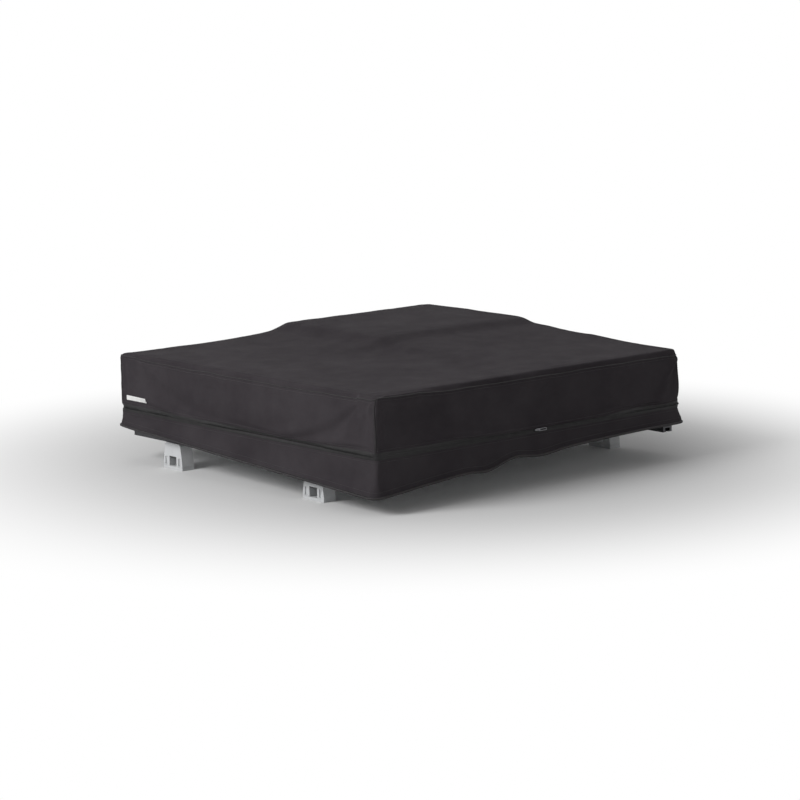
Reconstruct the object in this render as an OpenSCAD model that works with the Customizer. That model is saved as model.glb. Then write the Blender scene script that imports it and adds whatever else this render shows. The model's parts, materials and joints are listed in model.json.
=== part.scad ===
// Soft-shell roof top tent, packed for travel under its zip-off cover.
// X runs across the vehicle, Y along it to the rear, Z up. The origin lies under the
// centre of the cover, on the plane that the four crossbar clamps stand on.
// The tent opens about a hinge line on the -X side: the folding half swings over by half a turn.

/* [Travel cover] */
// Room in the cover beyond the hinge bosses, across the vehicle
cover_room_x = 21; // [19:0.5:40]
// Room in the cover beyond the hinge pins, along the vehicle
cover_room_y = 19; // [18:0.5:40]
// Corner radius of the cover in plan
cover_r = 34; // [28:1:38]
// Thickness of the coated cover fabric with its lining
cover_t = 2.4; // [1.6:0.1:3]
// Height of the hem over the underside of the base at the two tidy corners
hem_over = 20; // [4:1:20]
// How far the hem droops at the slack corner
hem_droop = 66; // [0:1:70]
// Height of the zip over the lower frame
zip_up = 40; // [36:1:54]
// How far the fabric is drawn in at the zip
zip_inset = 14; // [6:1:15]
// Height of the hem lip that flares out under the drawn-in band
lip_h = 16; // [8:1:30]
// Width of the zip tape
zip_w = 9; // [7:1:12]

/* [Base halves] */
// Width of one base half, across the vehicle
frame_x = 1256; // [1200:1:1264]
// Length of one base half, along the vehicle
frame_y = 1200; // [1120:1:1204]
// Width of the frame extrusion
frame_w = 30; // [28:1:36]
// Height of the frame extrusion
frame_h = 32; // [30:1:38]
// Wall of the frame extrusion
frame_wall = 2.5; // [2:0.1:3]
// Thickness of the sandwich floor panel
panel_t = 20; // [16:0.5:22]
// Extra room for the hinge bosses on the hinge side
hinge_room = 16; // [12:1:20]
// Free height between the two folded frames
fold_gap = 180; // [180:1:194]
// Gap between the two halves when they lie open
open_gap = 4; // [3:0.5:8]

/* [Mattress] */
// Thickness of each mattress half at its crown
mattress_t = 66; // [50:1:72]
// Room left round the mattress inside the frame
mattress_room = 10; // [8:1:30]
// How far the mattress sides draw in between the corners
mattress_waist = 7; // [0:1:12]

/* [Hinges and hoops] */
// Thickness of a hinge plate
plate_t = 6; // [5:0.5:6.5]
// Radius of the hinge pin
pin_r = 8; // [6:0.5:9]
// Radius of the boss round the hinge pin
boss_r = 17; // [15:0.5:18]
// Outside diameter of the hoop tube
hoop_d = 16; // [12:0.5:18]
// Wall of the hoop tube
hoop_wall = 1.5; // [1:0.1:2]
// Bend radius of the hoop corners
hoop_bend = 100; // [60:1:140]
// Distance of a hoop's cross tube in from the free edge of the base
hoop_in = 46; // [40:1:90]
// Thickness of a hoop knuckle on the hinge pin
knuckle_t = 9; // [7:0.5:9]

/* [Canopy] */
// Thickness of the folded canopy fabric
canopy_t = 1.6; // [1:0.1:2]
// Depth of the tuck between two hoops
canopy_tuck = 20; // [10:1:24]

/* [Ladder] */
// Outside diameter of the lowest, widest ladder stile
stile_d = 36; // [33:0.5:37]
// Step in diameter from one ladder section to the next
stile_step = 3; // [3:0.1:3.2]
// Wall of a stile tube
stile_wall = 1.2; // [1:0.1:1.25]
// Length of one stile tube
stile_l = 330; // [310:1:350]
// Distance between the two stiles, centre to centre
ladder_w = 380; // [320:1:420]
// Pitch of the rungs when the ladder is pushed together
rung_pitch = 44; // [43:0.5:46]
// Distance of the ladder's centre line in from the rear side of the base
ladder_in = 270; // [260:1:340]
// Height of the ladder's tubes above the folded frame
ladder_rise = 21; // [20.5:0.5:24]

/* [Crossbar clamps] */
// Distance of the mount rails' centre lines in from the outer faces of the base
clamp_in = 20; // [20:1:60]
// Place of the front clamps along the vehicle
clamp_front = -310; // [-360:1:-250]
// Place of the rear clamps along the vehicle
clamp_rear = 385; // [300:1:400]
// Height of a clamp from the standing plane to the mount rail
clamp_h = 84; // [78:1:90]
// Depth of a clamp along the crossbar
clamp_d = 46; // [36:1:56]
// Width of a clamp at its foot
clamp_foot = 98; // [92:1:110]
// Width of a clamp at the rail
clamp_top = 80; // [78:1:90]
// Width of the gap for the crossbar
bar_gap = 36; // [30:1:38]
// Height of the gap for the crossbar
bar_h = 28; // [22:1:34]
// Thickness of the clamp keeper
keeper_t = 10; // [9:0.5:12]
// Distance of the clamp bolts from the crossbar's centre line
bolt_y = 31; // [28:0.5:32]
// Height of the mount rail
rail_h = 20; // [18:1:24]
// Width of the mount rail
rail_w = 40; // [36:1:44]

/* [Hidden] */
$fn = 48;

// Clearances
fit = 0.3;
run = 0.08;
bite = 1;

// Levels of the folded stack
frame_z = clamp_h + rail_h;
lower_top = frame_z + frame_h;
upper_low = lower_top + fold_gap;
upper_top = upper_low + frame_h;
axis_z = (lower_top + upper_low) / 2;

// Plan of a base half
hinge_x = -frame_x / 2 + hinge_room / 2;
free_x = frame_x / 2 + hinge_room / 2;
side_y = frame_y / 2;
axis_x = hinge_x - open_gap / 2;
hoop_reach = free_x - hoop_in - axis_x;
ladder_y = side_y - ladder_in;

// Frame extrusion, measured from its outer face inwards and from its weather face up
groove_depth = 10;
groove_u = frame_w - groove_depth;
groove_v = (frame_h - panel_t) / 2;
chamber_w = groove_u - 2 * frame_wall;
keder_r = 2.7;
keder_wall = 1.6;
keder_slit = 1.8;
keder_v = frame_h - 10;
key_leg = 80;
key_top = 16;
panel_top = groove_v + panel_t + fit;

// Hinge stack along the pin, counted outwards from the side of the base
lower_plate_y = side_y;
upper_plate_y = lower_plate_y + plate_t + 0.5;
pin_head_t = 3.5;
pin_head_r = 12;
knuckle_gap = 0.5;
knuckle_pitch = knuckle_t + 1;
knuckle_r = 14;
knuckle_y = [for (i = [0:2]) side_y - knuckle_gap - knuckle_t - i * knuckle_pitch];
pin_in = knuckle_y[2] - 3;
pin_out = upper_plate_y + plate_t + pin_head_t;
foot_l = 150;
foot_margin = 3;
light_r = 11;
plate_bolt_u = [0.62, 0.88];
plate_bolt_v = 10;
plate_bolt_head_r = 5.5;
plate_bolt_head_t = 3;
plate_bolt_bite = frame_wall + 6;

// Hoops: share of the opening angle that each one follows, and its level between the frames.
// The level of a share w is where a smooth step from the lower to the upper frame reaches w.
hoop_share = [0.25, 0.5, 0.75];
function smooth_level(w) = 0.5 - sin(asin(1 - 2 * w) / 3);
hoop_dz = [for (w = hoop_share) (smooth_level(w) - 0.5) * fold_gap];
hoop_y = knuckle_y[1] + knuckle_t / 2;
socket_r = hoop_d / 2 + 3;
socket_from = 42;
socket_to = 92;
tube_from = 52;

// Ladder
stile_count = 6;
pivot_r = 5;
eye_r = 12;
eye_t = 8;
pivot_x = free_x - 10;
pivot_z = upper_top + ladder_rise;
collar_w = 40;
collar_h = 2 * ladder_rise - 3;
rung_h = 0.62 * collar_h;
section_x = [for (k = [0:stile_count - 1]) pivot_x - eye_r - 2 - k * rung_pitch];
function section_d(k) = stile_d - (stile_count - 1 - k) * stile_step;
foot_cap_l = 26;
foot_cap_r = stile_d / 2 - 0.5;
ear_t = 6;
ear_gap = 0.4;

// Clamps
function clamp_x(side) = side < 0 ? hinge_x + clamp_in : free_x - clamp_in;
slot_neck = 11;
slot_neck_h = 4;
slot_w = 22;
slot_h = 9;
bolt_r = 4;
bolt_hole_r = 4.5;
bolt_head_r = 6.5;
bolt_head_h = 5;
counterbore_r = 8;
counterbore_h = 6;
pad_t = 3;
nut_l = 24;
rail_inset = 8;
screw_r = 3;
screw_head_r = 5;
screw_y = [-0.42, -0.14, 0.16, 0.42];
screw_in = frame_w - groove_depth / 2 - 2;
screw_bite = groove_v - fit - 1;

// Cover: its outside size, insets of the rings of fabric from it, and their levels
cover_x = 2 * (boss_r - axis_x + cover_room_x);
cover_y = 2 * (pin_out + cover_room_y);
hem_z = frame_z + hem_over;
zip_z = lower_top + zip_up;
wall_inset_mid = 8;
wall_inset_top = 3;
edge_inset = 9;
lid_clear = 0.4;
lid_z = upper_top + lid_clear + cover_t;
lid_mid_z = mix(zip_z, lid_z, 0.4);
hump_z = pivot_z + collar_h / 2 + lid_clear + cover_t;
hump_margin = 22;
hump_ramp = 480;
hump_x = section_x[stile_count - 1] - stile_l - foot_cap_l - hump_margin;
hump_y = ladder_y - ladder_w / 2 - collar_w / 2 - hump_margin;
hump_end = ladder_y + ladder_w / 2 + collar_w / 2 + hump_margin;
frame_black = [0.12, 0.12, 0.13];
label_l = 108;
label_h = 15;
label_t = 1.2;
label_gap = 9;
label_y = cover_y / 2 - cover_r - label_gap - label_l / 2;
label_z = zip_z + 34;
slider_l = 16;
slider_h = 10;
slider_t = 6;
tab_l = 34;
tab_h = 7;
tab_t = 1.6;

// Common shapes

function ramp(a, b, v) = let (t = min(1, max(0, (v - a) / (b - a)))) t * t * (3 - 2 * t);
function mix(a, b, t) = a + (b - a) * t;

// Points round a rectangle with rounded corners, anticlockwise, with points along each side too.
corner_steps = 4;
side_steps = 8;
function corner_angle(q) = 90 * q;
function outline(hx, hy, r) =
    let (cx = [hx - r, r - hx, r - hx, hx - r], cy = [hy - r, hy - r, r - hy, r - hy])
    [for (q = [0:3])
        let (n = (q + 1) % 4,
             p1 = [cx[q] + r * cos(corner_angle(q) + 90), cy[q] + r * sin(corner_angle(q) + 90)],
             p2 = [cx[n] + r * cos(corner_angle(n)), cy[n] + r * sin(corner_angle(n))])
        each concat(
            [for (s = [0:corner_steps]) let (a = corner_angle(q) + 90 * s / corner_steps)
                [cx[q] + r * cos(a), cy[q] + r * sin(a)]],
            [for (s = [1:side_steps - 1]) mix(p1, p2, s / side_steps)])];

// A closed skin through rings of points that all turn the same way.
// Ends are closed by a fan to a middle point, or the last ring joins the first.
module skin(rings, loop = false) {
    m = len(rings);
    n = len(rings[0]);
    middles = loop ? [] : [for (r = [rings[0], rings[m - 1]]) (r * 0)[0] + [for (p = r) 1] * r / n];
    points = concat([for (r = rings) each r], middles);
    strips = loop ? m : m - 1;
    sides = [for (j = [0:strips - 1]) for (i = [0:n - 1])
        let (a = j * n + i, b = j * n + (i + 1) % n, c = ((j + 1) % m) * n + (i + 1) % n,
             d = ((j + 1) % m) * n + i)
        each [[a, c, b], [a, d, c]]];
    ends = loop ? [] : [for (i = [0:n - 1]) each [
        [m * n, i, (i + 1) % n],
        [m * n + 1, (m - 1) * n + (i + 1) % n, (m - 1) * n + i]]];
    polyhedron(points = points, faces = concat(sides, ends), convexity = 8);
}

function at_level(flat, z) = [for (p = flat) [p[0], p[1], z]];

// Turns the shape of the lower half over, onto the folding half.
module on_upper_half() {
    translate([0, 0, 2 * axis_z]) mirror([0, 0, 1]) children();
}

module both_sides() {
    children();
    mirror([0, 1, 0]) children();
}

// Base halves

module rail_profile() {
    difference() {
        square([frame_w, frame_h]);
        difference() {
            translate([frame_wall, frame_wall]) square([chamber_w, frame_h - 2 * frame_wall]);
            translate([keder_r + 1, keder_v]) circle(r = keder_r + keder_wall);
        }
        translate([groove_u, groove_v - fit]) square([frame_w, panel_t + 2 * fit]);
        translate([keder_r + 1, keder_v]) circle(r = keder_r);
        translate([-1, keder_v - keder_slit / 2]) square([keder_r + 1, keder_slit]);
    }
}

module half_side_rails() {
    both_sides() intersection() {
        translate([hinge_x - bite, -side_y, frame_z]) rotate([90, 0, 90])
            linear_extrude(frame_x + 2 * bite) rail_profile();
        translate([0, 0, frame_z - bite]) linear_extrude(frame_h + 2 * bite)
            polygon([[hinge_x, -side_y], [free_x, -side_y],
                [free_x - frame_w, frame_w - side_y], [hinge_x + frame_w, frame_w - side_y]]);
    }
}

module half_end_rails() {
    intersection() {
        translate([hinge_x, side_y + bite, frame_z]) rotate([90, 0, 0])
            linear_extrude(frame_y + 2 * bite) rail_profile();
        translate([0, 0, frame_z - bite]) linear_extrude(frame_h + 2 * bite)
            polygon([[hinge_x, -side_y], [hinge_x + frame_w, frame_w - side_y],
                [hinge_x + frame_w, side_y - frame_w], [hinge_x, side_y]]);
    }
    intersection() {
        translate([free_x, -side_y - bite, frame_z]) rotate([90, 0, 180])
            linear_extrude(frame_y + 2 * bite) rail_profile();
        translate([0, 0, frame_z - bite]) linear_extrude(frame_h + 2 * bite)
            polygon([[free_x, -side_y], [free_x, side_y],
                [free_x - frame_w, side_y - frame_w], [free_x - frame_w, frame_w - side_y]]);
    }
}

module half_corner_keys() {
    near = frame_wall + fit;
    far = frame_wall + chamber_w - fit;
    key = [[near, near], [key_leg, near], [key_leg, far], [far, far], [far, key_leg], [near, key_leg]];
    for (place = [[hinge_x, 1], [free_x, -1]])
        both_sides() translate([place[0], -side_y, frame_z + near])
            linear_extrude(key_top - near) polygon([for (p = key) [place[1] * p[0], p[1]]]);
}

module half_floor_panel() {
    edge = groove_u + bite;
    translate([hinge_x + edge, edge - side_y, frame_z + groove_v])
        cube([frame_x - 2 * edge, frame_y - 2 * edge, panel_t]);
}

// Foam pad: flat where it lies on the floor panel, crowned above, with sides that draw in between the corners.
module half_mattress() {
    low = frame_z + groove_v + panel_t + fit;
    from_x = hinge_x + frame_w + mattress_room;
    to_x = canopy_out_x - canopy_tuck - canopy_t - mattress_room;
    hx = (to_x - from_x) / 2;
    hy = side_y - frame_w - mattress_room;
    middle = (from_x + to_x) / 2;
    function waist(p, k) = [
        p[0] - sign(p[0]) * k * mattress_waist * max(0, cos(p[1] / hy * 90)) * (abs(p[0]) > hx * 0.98 ? 1 : 0),
        p[1] - sign(p[1]) * k * mattress_waist * max(0, cos(p[0] / hx * 90)) * (abs(p[1]) > hy * 0.98 ? 1 : 0)];
    layers = [[12, 0, 0], [0, 0.16, 0.6], [0, 0.5, 1], [0, 0.78, 0.6], [14, 0.92, 0]];
    walls = [for (l = layers) [for (p = outline(hx, hy, 60)) let (w = waist(p, l[2]), s = 1 - l[0] / hx)
        [middle + w[0] * s, w[1] * s, low + l[1] * mattress_t]]];
    crown = [for (s = [0.8, 0.4]) [for (p = outline(hx * s, hy * s, 60 * s))
        [middle + p[0], p[1], low + mattress_t * (1 - 0.08 * s * s)]]];
    skin(concat(walls, crown));
}

module mount_rail_profile() {
    difference() {
        translate([-rail_w / 2, 0]) square([rail_w, rail_h]);
        translate([-slot_neck / 2, -1]) square([slot_neck, slot_neck_h + 2]);
        translate([-slot_w / 2, slot_neck_h]) square([slot_w, slot_h]);
    }
}

module rail_screw_places() {
    for (x = [hinge_x + screw_in, free_x - screw_in]) for (y = screw_y)
        translate([x, y * frame_y, 0]) children();
}

module mount_rails() {
    color(frame_black) difference() {
        for (side = [-1, 1])
            translate([clamp_x(side), side_y - rail_inset, clamp_h]) rotate([90, 0, 0])
                linear_extrude(frame_y - 2 * rail_inset) mount_rail_profile();
        rail_screw_places() {
            translate([0, 0, clamp_h + slot_neck_h + slot_h - bite]) cylinder(r = screw_r + run, h = rail_h);
            translate([0, 0, clamp_h + slot_neck_h + slot_h - bite])
                cylinder(r = screw_head_r + fit, h = bite + screw_r + fit);
        }
    }
}

module drilled_end_rails() {
    difference() {
        half_end_rails();
        rail_screw_places() translate([0, 0, frame_z - bite])
            cylinder(r = screw_r + run, h = bite + screw_bite + fit);
    }
}

// Countersunk screws that hold the mount rails up against the frame, with flush heads.
module rail_screws() {
    head_z = clamp_h + slot_neck_h + slot_h + fit;
    color("dimgray") rail_screw_places() {
        translate([0, 0, head_z]) cylinder(r = screw_head_r, h = screw_r - fit);
        translate([0, 0, head_z]) cylinder(r = screw_r, h = frame_z + screw_bite - head_z);
    }
}

// Hinges

module hinge_plate_profile() {
    difference() {
        union() {
            translate([axis_x, axis_z]) circle(r = boss_r);
            polygon([[axis_x - boss_r + 3, axis_z], [hinge_x + 2 * foot_margin, frame_z + foot_margin],
                [hinge_x + foot_l, frame_z + foot_margin], [hinge_x + foot_l, lower_top - 2 * foot_margin],
                [hinge_x + foot_l / 2, lower_top + foot_margin], [axis_x + boss_r - 1, axis_z - 3]]);
        }
        translate([axis_x, axis_z]) circle(r = pin_r + run);
        translate([axis_x + boss_r + 10, mix(lower_top, axis_z, 0.24)]) circle(r = light_r);
        for (u = plate_bolt_u) translate([hinge_x + u * foot_l, frame_z + plate_bolt_v]) circle(r = screw_r);
    }
}

module lower_hinge_plates() {
    color("gainsboro") both_sides()
        translate([0, -lower_plate_y, 0]) rotate([90, 0, 0]) linear_extrude(plate_t) hinge_plate_profile();
}

module upper_hinge_plates() {
    color("gainsboro") on_upper_half() both_sides() {
        translate([0, -upper_plate_y, 0]) rotate([90, 0, 0]) linear_extrude(plate_t) hinge_plate_profile();
        translate([hinge_x + foot_l * 0.25, -upper_plate_y - bite, frame_z + 2 * foot_margin])
            difference() {
                cube([foot_l * 0.7, upper_plate_y - side_y + bite, frame_h - 6 * foot_margin]);
                for (u = plate_bolt_u)
                    translate([(u - 0.25) * foot_l, -bite, plate_bolt_v - 2 * foot_margin])
                        rotate([-90, 0, 0]) cylinder(r = screw_r, h = 4 * plate_t);
            }
    }
}

// Places of the hinge plate bolts on the front side, looking along +Y into the side rail.
module plate_bolt_places() {
    for (u = plate_bolt_u) translate([hinge_x + u * foot_l, 0, frame_z + plate_bolt_v]) children();
}

// Bolts from the outside of a plate through the outer wall of the side rail.
module hinge_bolts(out_y) {
    color("dimgray") both_sides() plate_bolt_places() {
        translate([0, -out_y, 0]) rotate([90, 0, 0]) cylinder(r = plate_bolt_head_r, h = plate_bolt_head_t);
        translate([0, plate_bolt_bite - side_y, 0]) rotate([90, 0, 0])
            cylinder(r = screw_r - run, h = out_y - side_y + plate_bolt_bite + bite);
    }
}

module drilled_side_rails() {
    difference() {
        half_side_rails();
        both_sides() plate_bolt_places() translate([0, frame_w / 3 - side_y, 0])
            rotate([90, 0, 0]) cylinder(r = screw_r, h = frame_w);
    }
}

module hinge_pins() {
    color("slategray") both_sides() translate([axis_x, 0, axis_z]) {
        translate([0, -pin_in, 0]) rotate([90, 0, 0]) cylinder(r = pin_r, h = pin_out - pin_in);
        translate([0, pin_head_t - pin_out - fit, 0]) rotate([90, 0, 0])
            cylinder(r = pin_head_r, h = pin_head_t - fit);
        translate([0, -pin_in - fit * 2, 0]) rotate([-90, 0, 0]) cylinder(r = pin_r + 3, h = 3);
    }
}

// Hoops that spread the canopy

module ring_2d() {
    difference() {
        circle(d = hoop_d);
        circle(d = hoop_d - 2 * hoop_wall);
    }
}

module hoop_tube(i) {
    z = axis_z + hoop_dz[i];
    bar_x = axis_x + hoop_reach;
    color("lightgray") translate([0, 0, z]) {
        both_sides() {
            translate([axis_x + tube_from, -hoop_y, 0]) rotate([90, 0, 90])
                linear_extrude(hoop_reach - hoop_bend - tube_from) ring_2d();
            translate([bar_x - hoop_bend, hoop_bend - hoop_y, 0]) rotate([0, 0, -90])
                rotate_extrude(angle = 90) translate([hoop_bend, 0]) ring_2d();
        }
        translate([bar_x, hoop_y - hoop_bend, 0]) rotate([90, 0, 0])
            linear_extrude(2 * (hoop_y - hoop_bend)) ring_2d();
    }
}

module hoop_knuckles(i) {
    dz = hoop_dz[i];
    color("black") both_sides() translate([axis_x, 0, axis_z]) difference() {
        union() {
            translate([0, -knuckle_y[i], 0]) rotate([90, 0, 0]) linear_extrude(knuckle_t) union() {
                circle(r = knuckle_r);
                polygon([[0, 10], [-6, -10], [socket_from + 6, dz - 9], [socket_from + 6, dz + 9]]);
            }
            translate([socket_from, -hoop_y, dz]) rotate([0, 90, 0])
                cylinder(r = socket_r, h = socket_to - socket_from);
        }
        rotate([90, 0, 0]) cylinder(r = pin_r + run, h = frame_y);
        translate([tube_from - fit, -hoop_y, dz]) rotate([0, 90, 0])
            cylinder(d = hoop_d + 2 * run, h = socket_to);
    }
}

// Canopy: one band of cloth round the three sides, from the lower frame to the upper one.
// It runs outside the hoops and is tucked in between them.
canopy_out_y = hoop_y + hoop_d / 2 + canopy_t + 2;
canopy_out_x = axis_x + hoop_reach + hoop_d / 2 + 3;
canopy_start = axis_x + socket_to + 8;
function canopy_z(t) = mix(lower_top + 0.5, upper_low - 0.5, t);
function near_hoop(z) = min([for (d = hoop_dz) abs(z - axis_z - d)]);
function tuck_at(z) = canopy_tuck * ramp(socket_r + 1, socket_r + 9, near_hoop(z))
    * ramp(0, 14, min(z - lower_top, upper_low - z));
function band_path(tuck) =
    let (x = canopy_out_x - tuck, y = canopy_out_y - tuck * 0.25, r = hoop_bend + 8)
    concat([[canopy_start, -y], [mix(canopy_start, x - r, 0.5), -y]],
        [for (s = [0:6]) [x - r + r * sin(s * 15), r - y - r * cos(s * 15)]],
        [[x, 0]],
        [for (s = [6:-1:0]) [x - r + r * sin(s * 15), y - r + r * cos(s * 15)]],
        [[mix(canopy_start, x - r, 0.5), y], [canopy_start, y]]);

module canopy() {
    steps = 24;
    levels = [for (k = [0:steps]) k / steps];
    inner = [for (t = levels) at_level(band_path(tuck_at(canopy_z(t)) + canopy_t), canopy_z(t))];
    outer = [for (t = levels) at_level(band_path(tuck_at(canopy_z(t))), canopy_z(t))];
    count = len(outer[0]);
    // One ring per point along the band: up the outside, down the inside
    rings = [for (i = [0:count - 1]) concat(
        [for (k = [0:steps]) outer[k][i]],
        [for (k = [steps:-1:0]) let (p = inner[k][i], o = outer[k][i], leg = i < 2 || i > count - 3)
            leg ? [o[0], o[1] - sign(o[1]) * canopy_t, p[2]] : p])];
    color("tan") band(rings);
}

// A strip with flat ends, through cross-sections of points.
module band(rings) {
    m = len(rings);
    n = len(rings[0]);
    half = n / 2;
    sides = [for (j = [0:m - 2]) for (i = [0:n - 1])
        let (a = j * n + i, b = j * n + (i + 1) % n, c = (j + 1) * n + (i + 1) % n, d = (j + 1) * n + i)
        each [[a, b, c], [a, c, d]]];
    ends = [for (k = [0:half - 2]) each [
        [k, n - 1 - k, n - 2 - k], [k, n - 2 - k, k + 1],
        [(m - 1) * n + k, (m - 1) * n + n - 2 - k, (m - 1) * n + n - 1 - k],
        [(m - 1) * n + k, (m - 1) * n + k + 1, (m - 1) * n + n - 2 - k]]];
    polyhedron(points = [for (r = rings) each r], faces = concat(sides, ends), convexity = 10);
}

// Ladder

module rung_profile() {
    flat = collar_w - rung_h - 2;
    square([flat, rung_h], center = true);
    for (s = [-1, 1]) translate([s * flat / 2, 0]) circle(d = rung_h);
}

module ladder_section(k) {
    d = section_d(k);
    x = section_x[k];
    color(k % 2 == 0 ? "silver" : "gray") translate([0, ladder_y, pivot_z]) difference() {
        union() {
            for (s = [-1, 1]) translate([0, s * ladder_w / 2, 0]) {
                translate([x - stile_l, 0, 0]) rotate([0, 90, 0]) cylinder(d = d, h = stile_l);
                translate([x - collar_w, -collar_w / 2, -collar_h / 2]) cube([collar_w, collar_w, collar_h]);
                if (k == 0) ladder_eye(x);
            }
            translate([x - collar_w / 2, ladder_w / 2, 0]) rotate([90, 0, 0])
                linear_extrude(ladder_w) rung_profile();
        }
        for (s = [-1, 1]) translate([x - stile_l - bite, s * ladder_w / 2, 0]) rotate([0, 90, 0])
            cylinder(d = d - 2 * stile_wall, h = stile_l + (k == 0 ? bite - stile_wall : 2 * bite));
        for (s = [-1, 1]) translate([pivot_x, s * ladder_w / 2, 0]) rotate([90, 0, 0])
            cylinder(r = pivot_r + run, h = collar_w, center = true);
    }
}

module ladder_eye(x) {
    translate([pivot_x, eye_t / 2, 0]) rotate([90, 0, 0]) cylinder(r = eye_r, h = eye_t);
    translate([x - bite, -eye_t / 2, -eye_r / 2]) cube([pivot_x - x + bite, eye_t, eye_r]);
}

module ladder_feet() {
    x = section_x[stile_count - 1] - stile_l;
    color("black") for (s = [-1, 1]) translate([x, ladder_y + s * ladder_w / 2, pivot_z]) {
        rotate([0, -90, 0]) cylinder(r = foot_cap_r, h = foot_cap_l);
        translate([-bite, 0, 0]) rotate([0, 90, 0])
            cylinder(r = section_d(stile_count - 1) / 2 - stile_wall - run, h = 14);
    }
}

module ladder_brackets() {
    base_t = pivot_z - eye_r - upper_top - 1;
    color("dimgray") for (s = [-1, 1]) translate([0, ladder_y + s * ladder_w / 2, 0]) {
        translate([pivot_x - eye_r, -eye_t / 2 - ear_gap - ear_t, upper_top])
            cube([2 * eye_r, eye_t + 2 * (ear_gap + ear_t), base_t]);
        for (e = [-1, 1]) translate([0, e * (eye_t / 2 + ear_gap + ear_t / 2), 0])
            difference() {
                union() {
                    translate([pivot_x, ear_t / 2, pivot_z]) rotate([90, 0, 0]) cylinder(r = eye_r, h = ear_t);
                    translate([pivot_x - eye_r, -ear_t / 2, upper_top])
                        cube([2 * eye_r, ear_t, pivot_z - upper_top]);
                }
                translate([pivot_x, ear_t, pivot_z]) rotate([90, 0, 0])
                    cylinder(r = pivot_r + run, h = 2 * ear_t);
            }
    }
}

module ladder_pins() {
    l = eye_t + 2 * (ear_gap + ear_t) + 4;
    color("slategray") for (s = [-1, 1])
        translate([pivot_x, ladder_y + s * ladder_w / 2, pivot_z]) rotate([90, 0, 0])
            cylinder(r = pivot_r, h = l, center = true);
}

// Crossbar clamps, one at each corner

module at_clamp(side, end) {
    translate([clamp_x(side), end < 0 ? clamp_front : clamp_rear, 0]) children();
}

module bolt_places() {
    for (s = [-1, 1]) translate([0, s * bolt_y, 0]) children();
}

module saddle_profile() {
    r = 6;
    low = keeper_t;
    high = clamp_h - fit;
    difference() {
        polygon([[-clamp_foot / 2, low], [clamp_foot / 2, low], [clamp_foot / 2, low + r],
            [clamp_top / 2, high - r], [clamp_top / 2 - r, high], [r - clamp_top / 2, high],
            [-clamp_top / 2, high - r], [-clamp_foot / 2, low + r]]);
        translate([-bar_gap / 2, low - 1]) square([bar_gap, bar_h + pad_t + 1]);
    }
}

module clamp_saddle(side, end) {
    color("lightgray") at_clamp(side, end) difference() {
        translate([-clamp_d / 2, 0, 0]) rotate([90, 0, 90]) linear_extrude(clamp_d) saddle_profile();
        bolt_places() cylinder(r = bolt_hole_r, h = clamp_h + bite);
        for (s = [-1, 1]) translate([side * clamp_d / 2, s * (bar_gap / 2 + clamp_foot / 2) / 2, clamp_h * 0.3])
            cube([8, 12, clamp_h * 0.3], center = true);
    }
}

module clamp_pad(side, end) {
    color("black") at_clamp(side, end)
        translate([-clamp_d / 2, -bar_gap / 2 + fit, keeper_t + bar_h])
            cube([clamp_d, bar_gap - 2 * fit, pad_t]);
}

module clamp_nuts(side, end) {
    color("dimgray") at_clamp(side, end) bolt_places() difference() {
        translate([-slot_w / 2 + fit, -nut_l / 2, clamp_h + slot_neck_h + fit])
            cube([slot_w - 2 * fit, nut_l, slot_h - 2 * fit - 1]);
        cylinder(r = bolt_r + run, h = 2 * clamp_h);
    }
}

module clamp_keeper(side, end) {
    color("darkgray") at_clamp(side, end) difference() {
        translate([-clamp_d / 2, -clamp_foot / 2, 0]) cube([clamp_d, clamp_foot, keeper_t - fit]);
        bolt_places() {
            translate([0, 0, -bite]) cylinder(r = bolt_r + run, h = keeper_t + 2 * bite);
            translate([0, 0, -bite]) cylinder(r = counterbore_r, h = counterbore_h + bite);
        }
    }
}

module clamp_bolts(side, end) {
    color("dimgray") at_clamp(side, end) bolt_places() {
        translate([0, 0, counterbore_h - bolt_head_h]) cylinder(r = bolt_head_r, h = bolt_head_h, $fn = 6);
        translate([0, 0, counterbore_h - bolt_head_h / 2])
            cylinder(r = bolt_r, h = clamp_h + slot_neck_h + slot_h - counterbore_h);
    }
}

// Travel cover

function hem_at(x, y) = hem_z - hem_droop
    * ((cover_y / 2 - y) / cover_y) * pow((cover_x / 2 - x) / cover_x, 2);
function sag(a, b, v) = pow(min(1, max(0, (v - a) / (b - a))), 1.7);
function hump_at(x, y) = sag(hump_x - hump_ramp, hump_x, x) * sag(hump_y - hump_ramp, hump_y, y)
    * ramp(cover_y / 2, hump_end, y);
function top_at(x, y) = mix(lid_z, hump_z, hump_at(x, y));
function cover_ring(inset) = outline(cover_x / 2 - inset, cover_y / 2 - inset, max(8, cover_r - inset));

// The lid is a grid whose lines lie close together at the rounded corners and at the edges of the hump.
corner_lines = [0, 0.4, 0.75, 1];
function lid_lines(h, r, mids) = concat([for (k = corner_lines) k * r - h], mids,
    [for (i = [len(corner_lines) - 1:-1:0]) h - corner_lines[i] * r]);
slope_lines = [1, 0.75, 0.5, 0.25, 0];
lid_mids_x = concat([for (s = [0.35, 0.7]) mix(-cover_x / 2, hump_x - hump_ramp, s)],
    [for (s = slope_lines) hump_x - s * hump_ramp], [for (s = [0.28, 0.54, 0.8]) mix(hump_x, cover_x / 2, s)]);
lid_mids_y = concat([for (s = [0.35, 0.7]) mix(-cover_y / 2, hump_y - hump_ramp, s)],
    [for (s = slope_lines) hump_y - s * hump_ramp], [for (s = [1 / 3, 2 / 3, 1]) mix(hump_y, hump_end, s)]);
lid_nx = len(lid_mids_x) + 2 * len(corner_lines) - 1;
lid_ny = len(lid_mids_y) + 2 * len(corner_lines) - 1;
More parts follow.
